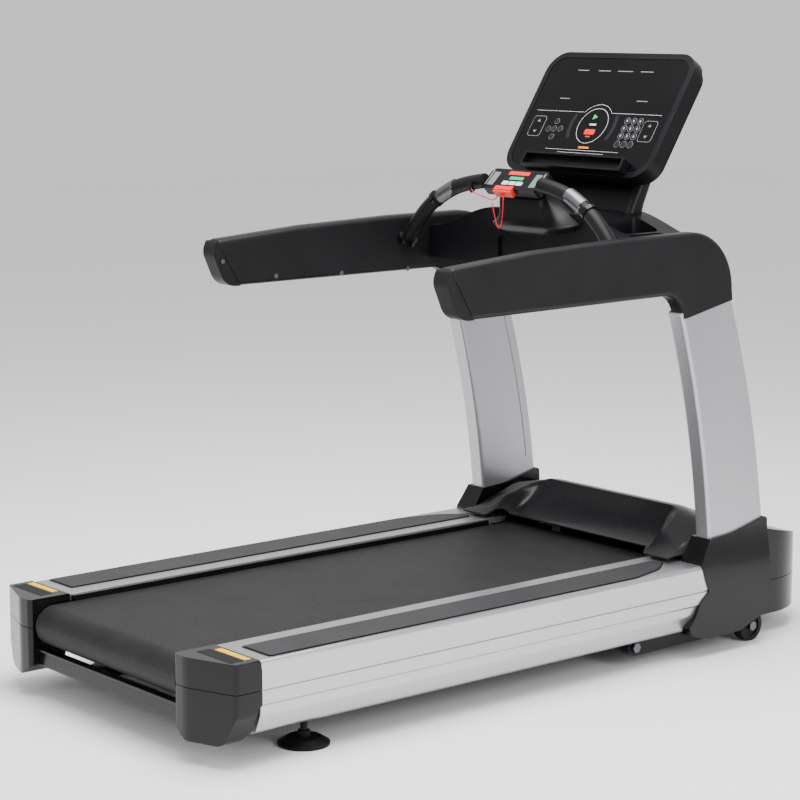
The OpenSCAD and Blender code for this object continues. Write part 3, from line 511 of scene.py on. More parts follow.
# %% [markdown]
# A rear end cap is a block whose plan, side and end views are all curved. Three plates, one for each
# view, are intersected, which is how a pattern maker would saw it from a block. It is made in two
# halves with a fine seam between them.
# %% Rear end caps
SEAM = rail_low.z + SEAM_SHARE * (rail_high.z - rail_low.z)
CAP_IN, CAP_OUT, CAP_REAR, CAP_FRONT = cap_low.x, cap_high.x, cap_low.y, cap_high.y
CAP_TOP, CAP_FOOT = cap_high.z, cap_low.z

def cap_half(name, z0, z1):
    half = plate(name, rounded([(CAP_IN, CAP_FRONT, 0), (CAP_OUT, CAP_FRONT, 0),
                                (CAP_OUT, CAP_REAR + 0.046, 0.014), (CAP_IN + 0.044, CAP_REAR, 0.07),
                                (CAP_IN, CAP_REAR + 0.001, 0.012)], 8), z1 - z0, place=(0, 0, z0))
    side = side_plate("cap_side", rounded([
        (CAP_REAR - 0.01, CAP_FOOT - 0.01, 0), (CAP_REAR + 0.075, CAP_FOOT - 0.01, 0),
        (CAP_FRONT - 0.020, CAP_FOOT + 0.03, 0.04), (CAP_FRONT - 0.010, SEAM - 0.040, 0.02),
        (CAP_FRONT + 0.006, SEAM - 0.028, 0.01), (CAP_FRONT + 0.006, SEAM + 0.02, 0.03),
        (CAP_FRONT - 0.008, CAP_TOP + 0.01, 0), (CAP_REAR - 0.01, CAP_TOP + 0.01, 0)], 6),
        CAP_IN - 0.01, CAP_OUT + 0.01)
    end = long_plate("cap_end", rounded([
        (CAP_IN - 0.005, CAP_TOP, 0), (CAP_OUT, CAP_TOP, 0.004), (CAP_OUT, SEAM, 0),
        (CAP_OUT, CAP_FOOT + 0.07, 0.04), (CAP_OUT - 0.035, CAP_FOOT, 0.03), (CAP_IN + 0.04, CAP_FOOT, 0.035),
        (CAP_IN, CAP_FOOT + 0.028, 0.01), (CAP_IN - 0.005, SEAM, 0)], 6), CAP_REAR - 0.02, CAP_FRONT + 0.02)
    intersect(half, side)
    intersect(half, end)
    round_edges(half, 0.0035, 3, 30)
    return half

cap_top = cap_half("rear_cap_top_right", SEAM + 0.0008, CAP_TOP)
cap_foot = cap_half("rear_cap_foot_right", CAP_FOOT, SEAM - 0.0008)
settle_pair(cap_top, ("rear_end_cap_right", "rear_end_cap_left"), "moulded_black",
            "rear_cap_top_left")
settle_pair(cap_foot, (None, None), "moulded_black", "rear_cap_foot_left")
print("cap", len(cap_top.data.polygons) + len(cap_foot.data.polygons), "faces")

# %% [markdown]
# Each cap carries a plain caution strip and a dark label. The real ones have printed words, which are
# left out.
# %% Cap labels
LABEL_T = 0.0006

def cap_label(name, x0, x1, y0, y1, finish_name):
    label = plate(name + "_right", oblong(x0, x1, y0, y1, 0.003, 3), LABEL_T, place=(0, 0, CAP_TOP - 0.0001))
    settle_pair(label, (None, None), finish_name, name + "_left")

cap_label("caution_strip", 0.338, 0.450, CAP_FRONT - 0.030, CAP_FRONT - 0.012, "label_yellow")
cap_label("cap_label", 0.325, 0.452, CAP_REAR + 0.046, CAP_FRONT - 0.034, "label_black")
print("cap labels made")

# %% [markdown]
# The crossbar under the rear roller is a bent black strip with a lip along its top.
# %% Rear crossbar
bar_low, bar_high = extent("rear_crossbar")
crossbar = side_plate("crossbar", rounded([
    (bar_low.y, bar_low.z, 0.006), (bar_high.y, bar_low.z, 0), (bar_high.y, bar_high.z, 0),
    (bar_low.y - 0.004, bar_high.z, 0.002), (bar_low.y - 0.004, bar_high.z - 0.006, 0.002),
    (bar_low.y + 0.004, bar_high.z - 0.008, 0.002)], 4), bar_low.x, bar_high.x, 0.001, 2)
settle(crossbar, "rear_crossbar", "moulded_black")
print("crossbar", len(crossbar.data.polygons), "faces")

# %% [markdown]
# The uprights are pressed steel covers over a post, gently curved and leaning back towards the runner.
# Both long edges are wide curves. A shallow panel is pressed into the inner face.
# %% Uprights
COVER_TOP = 0.3         # where the posts come out of the corner covers
BACK_Y, FORE_Y = 0.515, 0.717

def back_edge(z):
    return BACK_Y - 0.085 * (z - COVER_TOP) - (z - COVER_TOP) ** 2 / 5.0

def fore_edge(z):
    return FORE_Y - 0.10 * (z - COVER_TOP) - (z - COVER_TOP) ** 2 / 4.8

def front_line(z):
    return min(fore_edge(z), fore_edge(COVER_TOP))

def edge_run(edge, z0, z1, shift, steps=18):
    levels = [z0 + (z1 - z0) * i / steps for i in range(steps + 1)]
    return [(edge(z) + shift, z) for z in levels]

POST_IN, POST_OUT = post_low.x, post_high.x
POST_FOOT, POST_BACK_TOP, POST_FORE_TOP = 0.12, 0.885, 0.925
PANEL_FOOT, PANEL_TOP, PANEL_MARGIN = 0.37, 0.80, 0.030
post = side_plate("upright_skin_right",
                  edge_run(back_edge, POST_FOOT, POST_BACK_TOP, 0)
                  + edge_run(front_line, POST_FORE_TOP, POST_FOOT, 0),
                  POST_IN, POST_OUT, 0.009, 5)
panel = side_plate("post_panel", edge_run(back_edge, PANEL_FOOT, PANEL_TOP, PANEL_MARGIN)
                   + edge_run(fore_edge, PANEL_TOP, PANEL_FOOT, -PANEL_MARGIN),
                   POST_IN - 0.01, POST_IN + 0.0015)
cut(post, panel)
smooth(post, 30)
settle_pair(post, ("upright_right", "upright_left"), "silver_paint", "upright_skin_left")
print("upright", len(post.data.polygons), "faces")

# %% [markdown]
# The arms are long mouldings that turn down over the uprights. The outline is drawn from the
# side, pushed through the arm's width and given a generous rounding, then the foot is cut off square
# to the upright with a bisect. Each arm flares outward a little towards the runner.
# %% Arms
ARM_IN, ARM_OUT = POST_IN + 0.0015, POST_OUT + 0.0025
ARM_FLARE = math.radians(1.2)
FLARE_Y = 0.52          # the arm turns outward about the upright
ARM_TOP = extent("arm_right")[1].z
ARM_UNDER = 0.9265      # height of the underside at the runner's end
SHOULDER = back_edge(0.866)
SEAT_CUT = Vector((0, 0.195, -0.981))       # square to the arm's foot
TIP_CUT = Vector((0, 0.86, 0.51))           # square to the joint between arm and tip
flare = (Matrix.Translation((POST_OUT, FLARE_Y, 0)) @ Matrix.Rotation(ARM_FLARE, 4, "Z")
         @ Matrix.Translation((-POST_OUT, -FLARE_Y, 0)))

SHOULDER_R = 0.150
shoulder_arc = [Vector((0.435 + SHOULDER_R * math.cos(math.radians(a)), ARM_TOP - SHOULDER_R
                        + SHOULDER_R * math.sin(math.radians(a)))) for a in range(0, 91, 6)]
TIP_TOP = (-0.360, 1.028)
TIP_FOOT = -0.300
TIP_GAP = 0.0015
arm = side_plate("arm_skin_right", rounded([
    (TIP_FOOT - 0.05, ARM_UNDER, 0), (SHOULDER, 0.9305, 0.09), (SHOULDER + 0.004, 0.80, 0),
    (0.602, 0.80, 0), (0.5895, 0.897, 0)], 10) + shoulder_arc + rounded([
    (0.2, ARM_TOP - 0.002, 0.0), (-0.1, ARM_TOP - 0.013, 0.0), (-0.37, ARM_TOP - 0.034, 0)], 1),
    ARM_IN, ARM_OUT)
join_flats(arm)
round_edges(arm, 0.013, 5, clamp=False)
trim(arm, (0, SHOULDER, 0.869), SEAT_CUT)
trim(arm, (0, TIP_TOP[0], TIP_TOP[1]), -TIP_CUT)
arm.data.transform(flare)
smooth(arm, 40)
settle_pair(arm, ("arm_right", "arm_left"), "arm_skin", "arm_skin_left")

tip = side_plate("arm_tip_right", rounded([
    (TIP_FOOT + 0.02, ARM_UNDER, 0), (TIP_FOOT + 0.02, ARM_TOP - 0.031, 0),
    (-0.372, ARM_TOP - 0.0345, 0.018), (-0.384, 1.015, 0.05), (-0.345, ARM_UNDER, 0.06)], 8),
    ARM_IN + 0.0015, ARM_OUT - 0.0015, 0.016, 5)
trim(tip, (0, TIP_TOP[0] + TIP_GAP, TIP_TOP[1]), TIP_CUT)
tip.data.transform(flare)
smooth(tip, 40)
settle_pair(tip, ("arm_end_tips", None), "arm_skin", "arm_tip_left")
dress(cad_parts["arm_screws"], "zinc")
print("arm", len(arm.data.polygons), "faces, tip", len(tip.data.polygons))

# %% [markdown]
# The corner covers hide where rail, upright and frame meet. The outline has the notch that hooks over
# the rail's end. A well is cut for the upright, which comes up through it, and a pocket for the wheel.
# %% Corner covers
COVER_LEAN = 0.013      # how far the outer face leans in towards the upright
WELL_GAP = 0.0012
corner = side_plate("corner_cover_skin_right", rounded([
    (0.440, 0.062, 0.02), (0.427, 0.084, 0.012), (0.448, 0.106, 0.02), (0.466, 0.142, 0.02),
    (0.499, 0.170, 0.008), (0.474, 0.232, 0.02), (0.475, rail_high.z + 0.006, 0.004), (0.510, 0.300, 0.004),
    (0.600, 0.3060, 0.3), (cover_high.y - 0.004, 0.334, 0.008), (cover_high.y, 0.200, 0),
    (0.7265, 0.120, 0.04), (0.702, 0.080, 0.04), (0.620, 0.049, 0.05), (0.500, 0.046, 0.05)], 7),
    cover_low.x + 0.002, cover_high.x, 0.013, 5)
only(corner)
bpy.ops.object.mode_set(mode="EDIT")
for level in (0.20, 0.23, 0.26, 0.285, 0.31):
    bpy.ops.mesh.select_all(action="SELECT")
    bpy.ops.mesh.bisect(plane_co=(0, 0, level), plane_no=(0, 0, 1))
bpy.ops.object.mode_set(mode="OBJECT")
for vertex in corner.data.vertices:
    if vertex.co.x > 0.45:
        vertex.co.x -= COVER_LEAN * ease((vertex.co.z - 0.19) / 0.13)
well = plate("upright_well", oblong(POST_IN - WELL_GAP, POST_OUT + WELL_GAP, 0.519, 0.7185, 0.006, 4), 0.25,
             place=(0, 0, 0.15))
cut(corner, well)
wheel_low, wheel_high = extent("transport_wheel_right")
cut(corner, box_tool((0.38, wheel_low.y - 0.012, 0.0),
                     (wheel_high.x + 0.007, wheel_high.y + 0.02, wheel_high.z + 0.012)))
smooth(corner, 35)
settle_pair(corner, ("corner_cover_right", "corner_cover_left"), "moulded_black",
            "corner_cover_skin_left")
print("corner cover", len(corner.data.polygons), "faces")

# %% [markdown]
# The motor hood is one large soft surface with two raised shoulders and a shallow scoop between them.
# A grid is shaped by a height rule, then given a wall. The rule keeps the shoulders'
# inner edges crisp, because they catch the light.
# %% Motor hood
hood_high = extent("motor_hood")[1]
HOOD_X = hood_high.x
HOOD_Y1 = hood_high.y
COLUMNS, ROWS = 150, 84

def scoop_edge(y):
    """Half width of the scoop between the shoulders, at y."""
    return 0.298 - 0.062 * ease((y - 0.49) / 0.20)

def hood_rear(x):
    return 0.430 + 0.062 * (1 - ease((abs(x) - 0.272) / 0.035))

def hood_height(x, y):
    shoulder = 0.247 + 0.046 * ease((y - 0.415) / 0.10) + 0.044 * ease((y - 0.47) / 0.17)
    rise = min(1.0, max(0.0, (y - 0.490) / 0.118))
    middle = 0.251 + 0.090 * rise ** 1.6
    inside = ease((scoop_edge(y) - abs(x)) / 0.030)
    top = shoulder + (middle - shoulder) * inside
    fall = 0.086 * ease((y - 0.595) / 0.300)
    out = max(0.0, abs(x) - scoop_edge(y)) / (HOOD_X - scoop_edge(y))
    flank = (0.030 * out + 0.008 * ease((out - 0.8) / 0.2)) * ease((y - 0.43) / 0.08)
    return top - fall - flank

start_clean()
bpy.ops.mesh.primitive_grid_add(x_subdivisions=COLUMNS, y_subdivisions=ROWS, size=2)
hood = take("hood_skin")
for vertex in hood.data.vertices:
    u, v = vertex.co.x, (vertex.co.y + 1) / 2
    x = HOOD_X * (0.35 * u ** 3 + 0.65 * u)
    y = hood_rear(x) + (HOOD_Y1 - hood_rear(x)) * v
    vertex.co = (x, y, hood_height(x, y))
modify(hood, "SOLIDIFY", thickness=0.005, offset=-1)
modify(hood, "BEVEL", width=0.0016, segments=2, limit_method="ANGLE", angle_limit=math.radians(60))
smooth(hood, 40)
settle(hood, "motor_hood", "hood_skin")
print("hood", len(hood.data.polygons), "faces")

# %% [markdown]
# The front cover closes the drive's nose. A long plate of one section is sawn to a plan whose front
# corners are cut back in a wide curve. A fine parting line runs around the middle of the nose.
# %% Front cover
front_low, front_high = extent("front_cover")
COVER_X = front_high.x
NOSE_R, NOSE_Z = 0.095, 0.142
NOSE_UNDER, NOSE_TOP = 0.050, 0.296
NOSE_WALL = 0.004
PARTING = (0.1400, 0.1414)      # top of the lower half, foot of the upper half

def nose_section(g):
    nose = [(FRONT_END - NOSE_R + (NOSE_R - g) * math.cos(math.radians(a)),
             NOSE_Z + (NOSE_R - g) * math.sin(math.radians(a))) for a in range(66, -76, -6)]
    return rounded([(front_low.y, NOSE_UNDER + g, 0), (front_low.y, NOSE_TOP - g, 0),
                    (HOOD_Y1 - 0.07, 0.276 - g, 0.12), (HOOD_Y1 + 0.045, 0.250 - g, 0.09),
                    (*nose[0], 0)], 6) + [Vector(p) for p in nose[1:]]

def nose_plan(g):
    half = [(COVER_X - g, 0.69, 0), (COVER_X - g, FRONT_END - 0.118, 0.30),
            (COVER_X - 0.105, FRONT_END - 0.012 - g, 0.30), (COVER_X - 0.260, FRONT_END + 0.001 - g, 0.30)]
    return rounded(half + [(-x, y, r) for x, y, r in reversed(half)], 12)

def nose_shell(name, g, z0, z1):
    shell = side_plate(name, nose_section(g), -COVER_X, COVER_X)
    intersect(shell, plate(name + "_plan", nose_plan(g), z1 - z0, place=(0, 0, z0)))
    return shell

def nose_part(name, z0, z1):
    shell = nose_shell(name, 0, z0, z1)
    round_edges(shell, 0.0045, 3, 32)
    cut(shell, nose_shell(name + "_hollow", NOSE_WALL, 0.04, 0.30))
    cut(shell, box_tool((-COVER_X + NOSE_WALL, front_low.y - 0.02, 0.054),
                        (COVER_X - NOSE_WALL, front_low.y + NOSE_WALL, 0.288)))
    smooth(shell, 35)
    return shell

front = nose_part("front_cover_upper", PARTING[1], 0.310)
settle(front, "front_cover", "moulded_black")
lower_nose = nose_part("front_cover_lower", 0.030, PARTING[0])
inlet_low, inlet_high = extent("power_inlet")
cut(lower_nose, box_tool((inlet_low.x - 0.001, 0.80, inlet_low.z - 0.001),
                         (inlet_high.x + 0.001, FRONT_END + 0.01, inlet_high.z + 0.001)))
smooth(lower_nose, 35)
settle(lower_nose, None, "moulded_black")
print("front cover", len(front.data.polygons) + len(lower_nose.data.polygons), "faces")

# %% [markdown]
# The bridge ties the arms together and carries the console. Seen from behind the runner it is a wide
# wing whose top rises to the middle. Two oblong trays are let into it on each side.
# %% Bridge and trays
bridge_high = extent("bridge_housing")[1]
BRIDGE_X = bridge_high.x
BRIDGE_Y0, BRIDGE_Y1 = 0.318, bridge_high.y
BRIDGE_FOOT = 0.962
TRAY_FLOOR = 1.0305

def wing_top(x):
    return 1.049 + 0.064 * ease(1.55 - abs(x) / 0.26)

wing = [(-BRIDGE_X, BRIDGE_FOOT), (BRIDGE_X, BRIDGE_FOOT)]
wing += [(BRIDGE_X * (1 - i / 20), wing_top(BRIDGE_X * (1 - i / 20))) for i in range(41)]
bridge = long_plate("bridge_skin", wing, BRIDGE_Y0, BRIDGE_Y1, 0.012, 4)
for side in (1, -1):
    for x0, x1 in ((0.215, 0.300), (0.306, 0.385)):
        low, high = sorted((side * x0, side * x1))
        tray = plate("tray_cut", oblong(low, high, 0.350, 0.480, 0.02), 0.1, place=(0, 0, TRAY_FLOOR))
        cut(bridge, tray)
recess = long_plate("recess", oblong(-0.130, 0.110, 0.972, 1.040, 0.012, 5),
                    BRIDGE_Y0 - 0.02, BRIDGE_Y0 + 0.008)
cut(bridge, recess)
smooth(bridge, 35)
settle(bridge, "bridge_housing", "console_skin")
print("bridge", len(bridge.data.polygons), "faces")

# %% [markdown]
# Under the pod the bridge swells into a bowl-shaped neck that ends in a flared lip. It is made from
# rounded rectangles stacked from the bridge to the pod and bridged into one skin.
# %% Neck bowl
def ring_of(width, length, corner, centre, tilt):
    flat = oblong(-width / 2, width / 2, -length / 2, length / 2, corner, 8)
    turn = Matrix.Translation(centre) @ Matrix.Rotation(tilt, 4, "X")
    return [turn @ Vector((p[0], p[1], 0)) for p in flat]

def lofted(name, rings, rim=0.0):
    """Rings of equal count joined in order, and closed at both ends."""
    start_clean()
    mesh = bpy.data.meshes.new(name)
    count = len(rings[0])
    points = [p for ring in rings for p in ring]
    edges = [(r * count + k, r * count + (k + 1) % count) for r in range(len(rings)) for k in range(count)]
    mesh.from_pydata(points, edges, [])
    piece = bpy.data.objects.new(name, mesh)
    bpy.context.scene.collection.objects.link(piece)
    only(piece)
    for r in range(len(rings) - 1):
        for edge in mesh.edges:
            edge.select = r * count <= edge.vertices[0] < (r + 2) * count and len(
                {v // count for v in edge.vertices}) == 1 and edge.vertices[0] // count in (r, r + 1)
        bpy.ops.object.mode_set(mode="EDIT")
        bpy.ops.mesh.select_mode(type="EDGE")
        bpy.ops.mesh.bridge_edge_loops()
        bpy.ops.mesh.select_all(action="DESELECT")
        bpy.ops.object.mode_set(mode="OBJECT")
    for r in (0, len(rings) - 1):
        for edge in mesh.edges:
            edge.select = {v // count for v in edge.vertices} == {r}
        bpy.ops.object.mode_set(mode="EDIT")
        bpy.ops.mesh.edge_face_add()
        bpy.ops.mesh.select_all(action="DESELECT")
        bpy.ops.object.mode_set(mode="OBJECT")
    face_outward(piece)
    if rim:
        round_edges(piece, rim, 3)
    smooth(piece, 40)
    return piece

neck = lofted("pod_neck", [
    ring_of(0.170, 0.080, 0.038, (0.02, 0.322, 1.056), 0.05),
    ring_of(0.245, 0.108, 0.050, (0.03, 0.314, 1.068), 0.08),
    ring_of(0.282, 0.124, 0.055, (0.035, 0.308, 1.083), 0.10),
    ring_of(0.284, 0.125, 0.055, (0.035, 0.308, 1.087), 0.10),
    ring_of(0.276, 0.118, 0.052, (0.035, 0.310, 1.091), 0.12),
    ring_of(0.238, 0.098, 0.044, (0.022, 0.312, 1.106), 0.25),
    ring_of(0.205, 0.076, 0.034, (0.008, 0.306, 1.128), 0.45),
    ring_of(0.184, 0.056, 0.024, (0, 0.297, 1.148), 0.64),
    ring_of(0.170, 0.046, 0.020, (0, 0.290, 1.160), 0.764)])
settle(neck, None, "console_skin")
root = lofted("neck_root", [
    ring_of(0.330, 0.120, 0.03, (0, 0.384, 1.080), 0.0),
    ring_of(0.315, 0.112, 0.03, (0, 0.380, 1.103), 0.05),
    ring_of(0.270, 0.085, 0.03, (0, 0.366, 1.118), 0.15),
    ring_of(0.200, 0.050, 0.02, (0, 0.345, 1.130), 0.3)])
settle(root, None, "console_skin")
print("neck", len(neck.data.polygons) + len(root.data.polygons), "faces")

# %% [markdown]
# The mast is the console's stem. It leans forward and widens a little, so it too is a short loft.
# %% Console mast
mast = lofted("mast_skin", [
    ring_of(0.376, 0.060, 0.02, (0, 0.505, 1.100), 0.0),
    ring_of(0.376, 0.056, 0.02, (0, 0.516, 1.130), 0.0),
    ring_of(0.384, 0.050, 0.02, (0, 0.540, 1.185), 0.0),
    ring_of(0.396, 0.040, 0.018, (0, 0.562, 1.239), 0.0)], 0.0)
settle(mast, "console_mast", "console_skin")
print("mast", len(mast.data.polygons), "faces")

# %% [markdown]
# The console is a deep slab with very round corners and a stepped back. Its front has a raised bezel
# around a glossy panel. Everything on it is built lying flat, then tilted back into place together.
# %% Console housing
TILT = math.radians(90 - 32.8)
ON_CONSOLE = Matrix.Translation((0, 0.548, 1.356)) @ Matrix.Rotation(TILT, 4, "X")
CONSOLE_W, CONSOLE_H, CONSOLE_T = 0.542, 0.366, 0.058

def face_ring(w, h, r):
    return oblong(-w / 2, w / 2, -h / 2, h / 2, r, 12)

def on_console(piece):
    piece.data.transform(ON_CONSOLE)
    return piece

housing = plate("console_skin_front", face_ring(CONSOLE_W, CONSOLE_H, 0.062), 0.036, place=(0, 0, -0.036),
                rim=0.009, segments=5)
cut(housing, plate("bezel_cut", face_ring(CONSOLE_W - 0.034, CONSOLE_H - 0.034, 0.046), 0.02,
                   place=(0, 0, -0.0030)))
smooth(housing, 35)
settle(on_console(housing), "console_housing", "console_skin")
back = plate("console_back", face_ring(CONSOLE_W - 0.024, CONSOLE_H - 0.024, 0.052), 0.024,
             place=(0, 0, -CONSOLE_T), rim=0.016, segments=6)
settle(on_console(back), None, "console_skin")
panel = plate("console_glass", face_ring(CONSOLE_W - 0.036, CONSOLE_H - 0.036, 0.045), 0.0022,
              place=(0, 0, -0.0034))
settle(on_console(panel), "console_panel", "panel_glass")
print("console", len(housing.data.polygons) + len(back.data.polygons), "faces")

# %% [markdown]
# The panel's print is thin raised ink: lines, rings and plain key shapes, with no words. Each mark is
# a tiny plate, and the marks that repeat come from a loop.
# %% Panel print
INK = 0.0004
INK_Z = -0.0013

def ink(name, ring, finish_name, height=INK):
    mark = plate(name, ring, height, place=(0, 0, INK_Z))
    return settle(on_console(mark), None, finish_name)

def arc_band(cx, cs, r, width, a0, a1, steps=48):
    turn = [math.radians(a0 + (a1 - a0) * k / steps) for k in range(steps + 1)]
    outer = [(cx + (r + width / 2) * math.cos(a), cs + (r + width / 2) * math.sin(a)) for a in turn]
    inner = [(cx + (r - width / 2) * math.cos(a), cs + (r - width / 2) * math.sin(a)) for a in turn]
    return outer + inner[::-1]

RING_S = -0.0387
ink("ring_left", arc_band(0, RING_S, 0.052, 0.0011, 90, 269.5), "print_white")
ink("ring_right", arc_band(0, RING_S, 0.052, 0.0011, -90, 89.5), "print_white")
ink("outer_arc", arc_band(0, RING_S, 0.064, 0.0009, 38, 142), "print_white")
ink("wing_line_left", oblong(-0.233, -0.052, 0.0008, 0.0016, 0.0003), "print_white")
ink("wing_line_right", oblong(0.052, 0.230, 0.0008, 0.0016, 0.0003), "print_white")
ink("stop_square", oblong(-0.019, 0.019, -0.065, -0.049, 0.004), "print_red")
ink("start_bar", oblong(-0.012, 0.012, -0.0375, -0.0325, 0.001), "print_white")
ink("play_mark", [(-0.010, -0.020), (0.006, -0.012), (-0.010, -0.004)], "print_green")
ink("lower_mark", oblong(-0.008, 0.008, -0.073, -0.069, 0.001), "print_red")
ink("orange_mark", oblong(-0.015, 0.023, -0.1065, -0.1015, 0.001), "print_orange")
ink("long_line", oblong(-0.135, 0.135, -0.1134, -0.1126, 0.0003), "print_white")
ink("short_line", oblong(-0.085, 0.085, -0.1214, -0.1206, 0.0003), "print_white")
for i, (x0, x1) in enumerate([(-0.148, -0.106), (-0.070, -0.025), (0.002, 0.057), (0.085, 0.131)]):
    ink("top_label_%d" % i, oblong(x0, x1, 0.1265, 0.1288, 0.0008), "print_grey")
for i, (x0, x1) in enumerate([(-0.167, -0.130), (0.119, 0.158)]):
    ink("side_label_%d" % i, oblong(x0, x1, 0.0390, 0.0412, 0.0008), "print_grey")
for side, name in ((-1, "left"), (1, "right")):
    middle = side * 0.2055
    ink("rocker_rim_" + name, oblong(middle - 0.0245, middle + 0.0245, -0.078, -0.016, 0.010), "print_grey")
    ink("rocker_" + name, oblong(middle - 0.023, middle + 0.023, -0.0765, -0.0175, 0.009),
        "panel_glass", 0.0009)
    ink("rocker_up_" + name, [(middle - 0.006, -0.034), (middle + 0.006, -0.034), (middle, -0.026)],
        "print_grey", 0.0012)
    ink("rocker_down_" + name, [(middle - 0.006, -0.060), (middle, -0.068), (middle + 0.006, -0.060)],
        "print_grey", 0.0012)
    ink("side_key_" + name, arc_band(0, RING_S, 0.080, 0.012, *((-30, 24) if side > 0 else (156, 210))),
        "print_dim", 0.0006)

# %% [markdown]
# The number pad is three columns and four rows of one small round key. The five keys for the menus sit
# in a cross on the other side.
# %% Keypad and menu keys
KEY_SIDES = 28
KEY_FACE = 0.9          # the key's face as a share of its rim

def round_key(name, x, s, r, finish_name):
    turns = [2 * math.pi * k / KEY_SIDES for k in range(KEY_SIDES)]
    ring = [(x + r * math.cos(a), s + r * math.sin(a)) for a in turns]
    ink(name + "_rim", ring, "print_grey")
    inner = [(x + (p[0] - x) * KEY_FACE, s + (p[1] - s) * KEY_FACE) for p in ring]
    ink(name, inner, finish_name, 0.0008)

for column, x in enumerate((0.118, 0.1415, 0.165)):
    for row, s in enumerate((-0.019, -0.0415, -0.064, -0.088)):
        round_key("pad_key_%d_%d" % (row, column), x, s, 0.0098, "print_dim")
        if row < 3:
            ink("pad_dot_%d_%d" % (row, column), oblong(x - 0.0016, x + 0.0016, s - 0.003, s + 0.003, 0.0008),
                "print_white", 0.0011)
MENU_KEYS = [(-0.137, -0.030), (-0.133, -0.077), (-0.158, -0.054), (-0.113, -0.052), (-0.136, -0.053)]
for i, (x, s) in enumerate(MENU_KEYS):
    round_key("menu_key_%d" % i, x, s, 0.0085, "print_dim")
print("keypad made")

# %% [markdown]
# The ledge under the panel holds a phone or a book. It is a trough: a block with its middle cut out
# and its front lip left standing.
# %% Device ledge
ledge = plate("ledge_skin", oblong(-0.174, 0.198, -0.178, -0.138, 0.006), 0.026, place=(0, 0, 0.0))
cut(ledge, plate("trough_cut", oblong(-0.166, 0.190, -0.173, -0.143, 0.004), 0.05, place=(0, 0, 0.007)))
round_edges(ledge, 0.0022, 3, 40)
settle(on_console(ledge), "device_ledge", "console_skin")
print("ledge", len(ledge.data.polygons), "faces")

# %% [markdown]
# The handlebars are rubber-sleeved tubes. A smooth curve close to the model's bends gives the sweep,
# and a collar marks where the grip meets the lower tube.
# %% Handlebars
BAR_R = 0.0193
SENSOR_RISE = 0.0010
BAR_LINE = [(0.106, 0.249, 1.187), (0.150, 0.247, 1.181), (0.200, 0.245, 1.171), (0.245, 0.2425, 1.152),
            (0.286, 0.240, 1.131), (0.318, 0.238, 1.108), (0.347, 0.237, 1.080), (0.372, 0.236, 1.052),
            (0.4055, 0.236, 1.014)]
bar = tube("handlebar_skin_right", [Vector(p) for p in BAR_LINE], BAR_R, 8)
settle_pair(bar, ("handlebar_right", "handlebar_left"), "grip_rubber", "handlebar_skin_left")
GRIP_LINE = [Vector(p) for p in ((0.212, 0.2442, 1.1672), (0.232, 0.2432, 1.1590), (0.252, 0.2422, 1.1490),
                                 (0.272, 0.2410, 1.1385))]
for lift, level in ((1, "top"), (-1, "under")):
    sensor = tube("sensor_%s_right" % level, GRIP_LINE, BAR_R + SENSOR_RISE, 10)
    lens = tube("sensor_limit", [p + Vector((0, -0.004, lift * 0.012)) for p in GRIP_LINE], 0.0210, 10)
    intersect(sensor, lens)
    smooth(sensor, 35)
    settle_pair(sensor, ("pulse_sensor_plates", None), "sensor_metal",
                "sensor_%s_left" % level)
collar = tube("bar_collar_right", [Vector((0.283, 0.2402, 1.1335)), Vector((0.292, 0.2396, 1.1275))],
              0.0225, 10, smooth_line=False)
round_edges(collar, 0.0015, 2)
settle_pair(collar, (None, None), "moulded_black", "bar_collar_left")
flange = tube("bar_flange_right", [Vector((0.398, 0.236, 1.022)), Vector((0.4065, 0.236, 1.0125))], 0.027, 10,
              smooth_line=False)
round_edges(flange, 0.002, 2)
settle_pair(flange, (None, None), "moulded_black", "bar_flange_left")
print("handlebar", len(bar.data.polygons), "faces")

# %% [markdown]
# The pod is a small tilted slab with rounded edges, silver trim on its ends and soft grey pads. Wells
# are cut for the keys, so that each key stands in a thin dark gap.
# %% Control pod
POD_TILT = math.radians(43.8)
ON_POD = Matrix.Translation((0, 0.257, 1.195)) @ Matrix.Rotation(POD_TILT, 4, "X")
POD_W, POD_L, POD_T = 0.214, 0.068, 0.034
KEY_GAP = 0.0006
KEYS = [(0.002, 0.020, 0.076, 0.012), (0.004, 0.003, 0.050, 0.010), (-0.026, -0.014, 0.022, 0.012),
        (0.0, -0.014, 0.022, 0.012), (0.026, -0.014, 0.022, 0.012), (-0.078, -0.002, 0.022, 0.044),
        (0.078, -0.002, 0.022, 0.044)]

def on_pod(piece):
    piece.data.transform(ON_POD)
    return piece

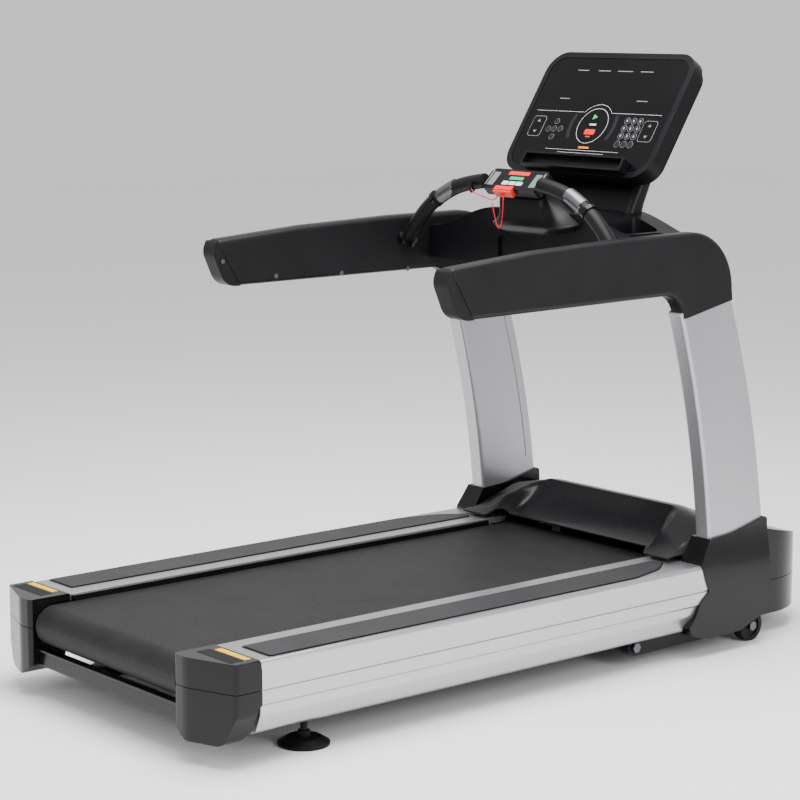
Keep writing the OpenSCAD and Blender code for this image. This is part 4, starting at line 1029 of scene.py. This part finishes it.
pod = plate("pod_skin", oblong(-POD_W / 2, POD_W / 2, -POD_L / 2, POD_L / 2, 0.017), POD_T - 0.008,
            place=(0, 0, -POD_T + 0.008), rim=0.006, segments=5)
for x, s, w, l in KEYS:
    half_w, half_l = w / 2 + KEY_GAP, l / 2 + KEY_GAP
    cut(pod, plate("key_well", oblong(x - half_w, x + half_w, s - half_l, s + half_l, 0.0022), 0.02,
                   place=(0, 0, -0.0062)))
smooth(pod, 35)
settle(on_pod(pod), "control_pod", "console_skin")
belly = plate("pod_belly", oblong(-POD_W / 2 + 0.02, POD_W / 2 - 0.02, -0.022, 0.030, 0.014), 0.010,
              place=(0, 0, -POD_T), rim=0.004, segments=3)
settle(on_pod(belly), None, "console_skin")
for side, name in ((1, "right"), (-1, "left")):
    trim_ring = oblong(*sorted((side * 0.0945, side * 0.0985)), -0.024, 0.026, 0.0018)
    trim_piece = plate("pod_trim_" + name, trim_ring, 0.0018, place=(0, 0, -0.0006), rim=0.0005, segments=2)
    settle(on_pod(trim_piece), None, "satin_aluminium")
print("pod", len(pod.data.polygons), "faces")

# %% [markdown]
# A plain floor, a pale surround and three broad lights stand in for a catalogue studio. The floor is only a
# stage, so it isn't attached to the treadmill.
# %% Floor and light
start_clean()
bpy.ops.mesh.primitive_plane_add(size=30, location=(0, 0, 0))
floor = take("studio_floor")
floor_paint = bpy.data.materials.new("floor_paint")
floor_paint.use_nodes = True
paint = floor_paint.node_tree.nodes["Principled BSDF"].inputs
paint["Base Color"].default_value = (0.98, 0.98, 0.98, 1)
paint["Roughness"].default_value = 0.75
floor.data.materials.append(floor_paint)

world = bpy.data.worlds.new("studio") if bpy.context.scene.world is None else bpy.context.scene.world
bpy.context.scene.world = world
world.use_nodes = True
sky = world.node_tree.nodes["Background"].inputs
sky["Color"].default_value = (1, 1, 1, 1)
sky["Strength"].default_value = 0.85

def lamp(name, place, aim, size, power):
    light = bpy.data.lights.new(name, "AREA")
    light.shape = "RECTANGLE"
    light.size, light.size_y = size
    light.energy = power
    holder = bpy.data.objects.new(name, light)
    holder.location = place
    holder.rotation_euler = (Vector(aim) - Vector(place)).to_track_quat("-Z", "Y").to_euler()
    bpy.context.scene.collection.objects.link(holder)

lamp("overhead", (0.3, -0.2, 3.6), (0, 0.1, 0.4), (2.4, 3.0), 250)
lamp("side_wash", (4.2, 0.6, 1.8), (0, 0.1, 0.6), (1.2, 2.4), 90)
lamp("rear_wash", (-0.6, -4.2, 1.7), (0, 0.2, 0.9), (2.0, 1.4), 35)
print("lights set")
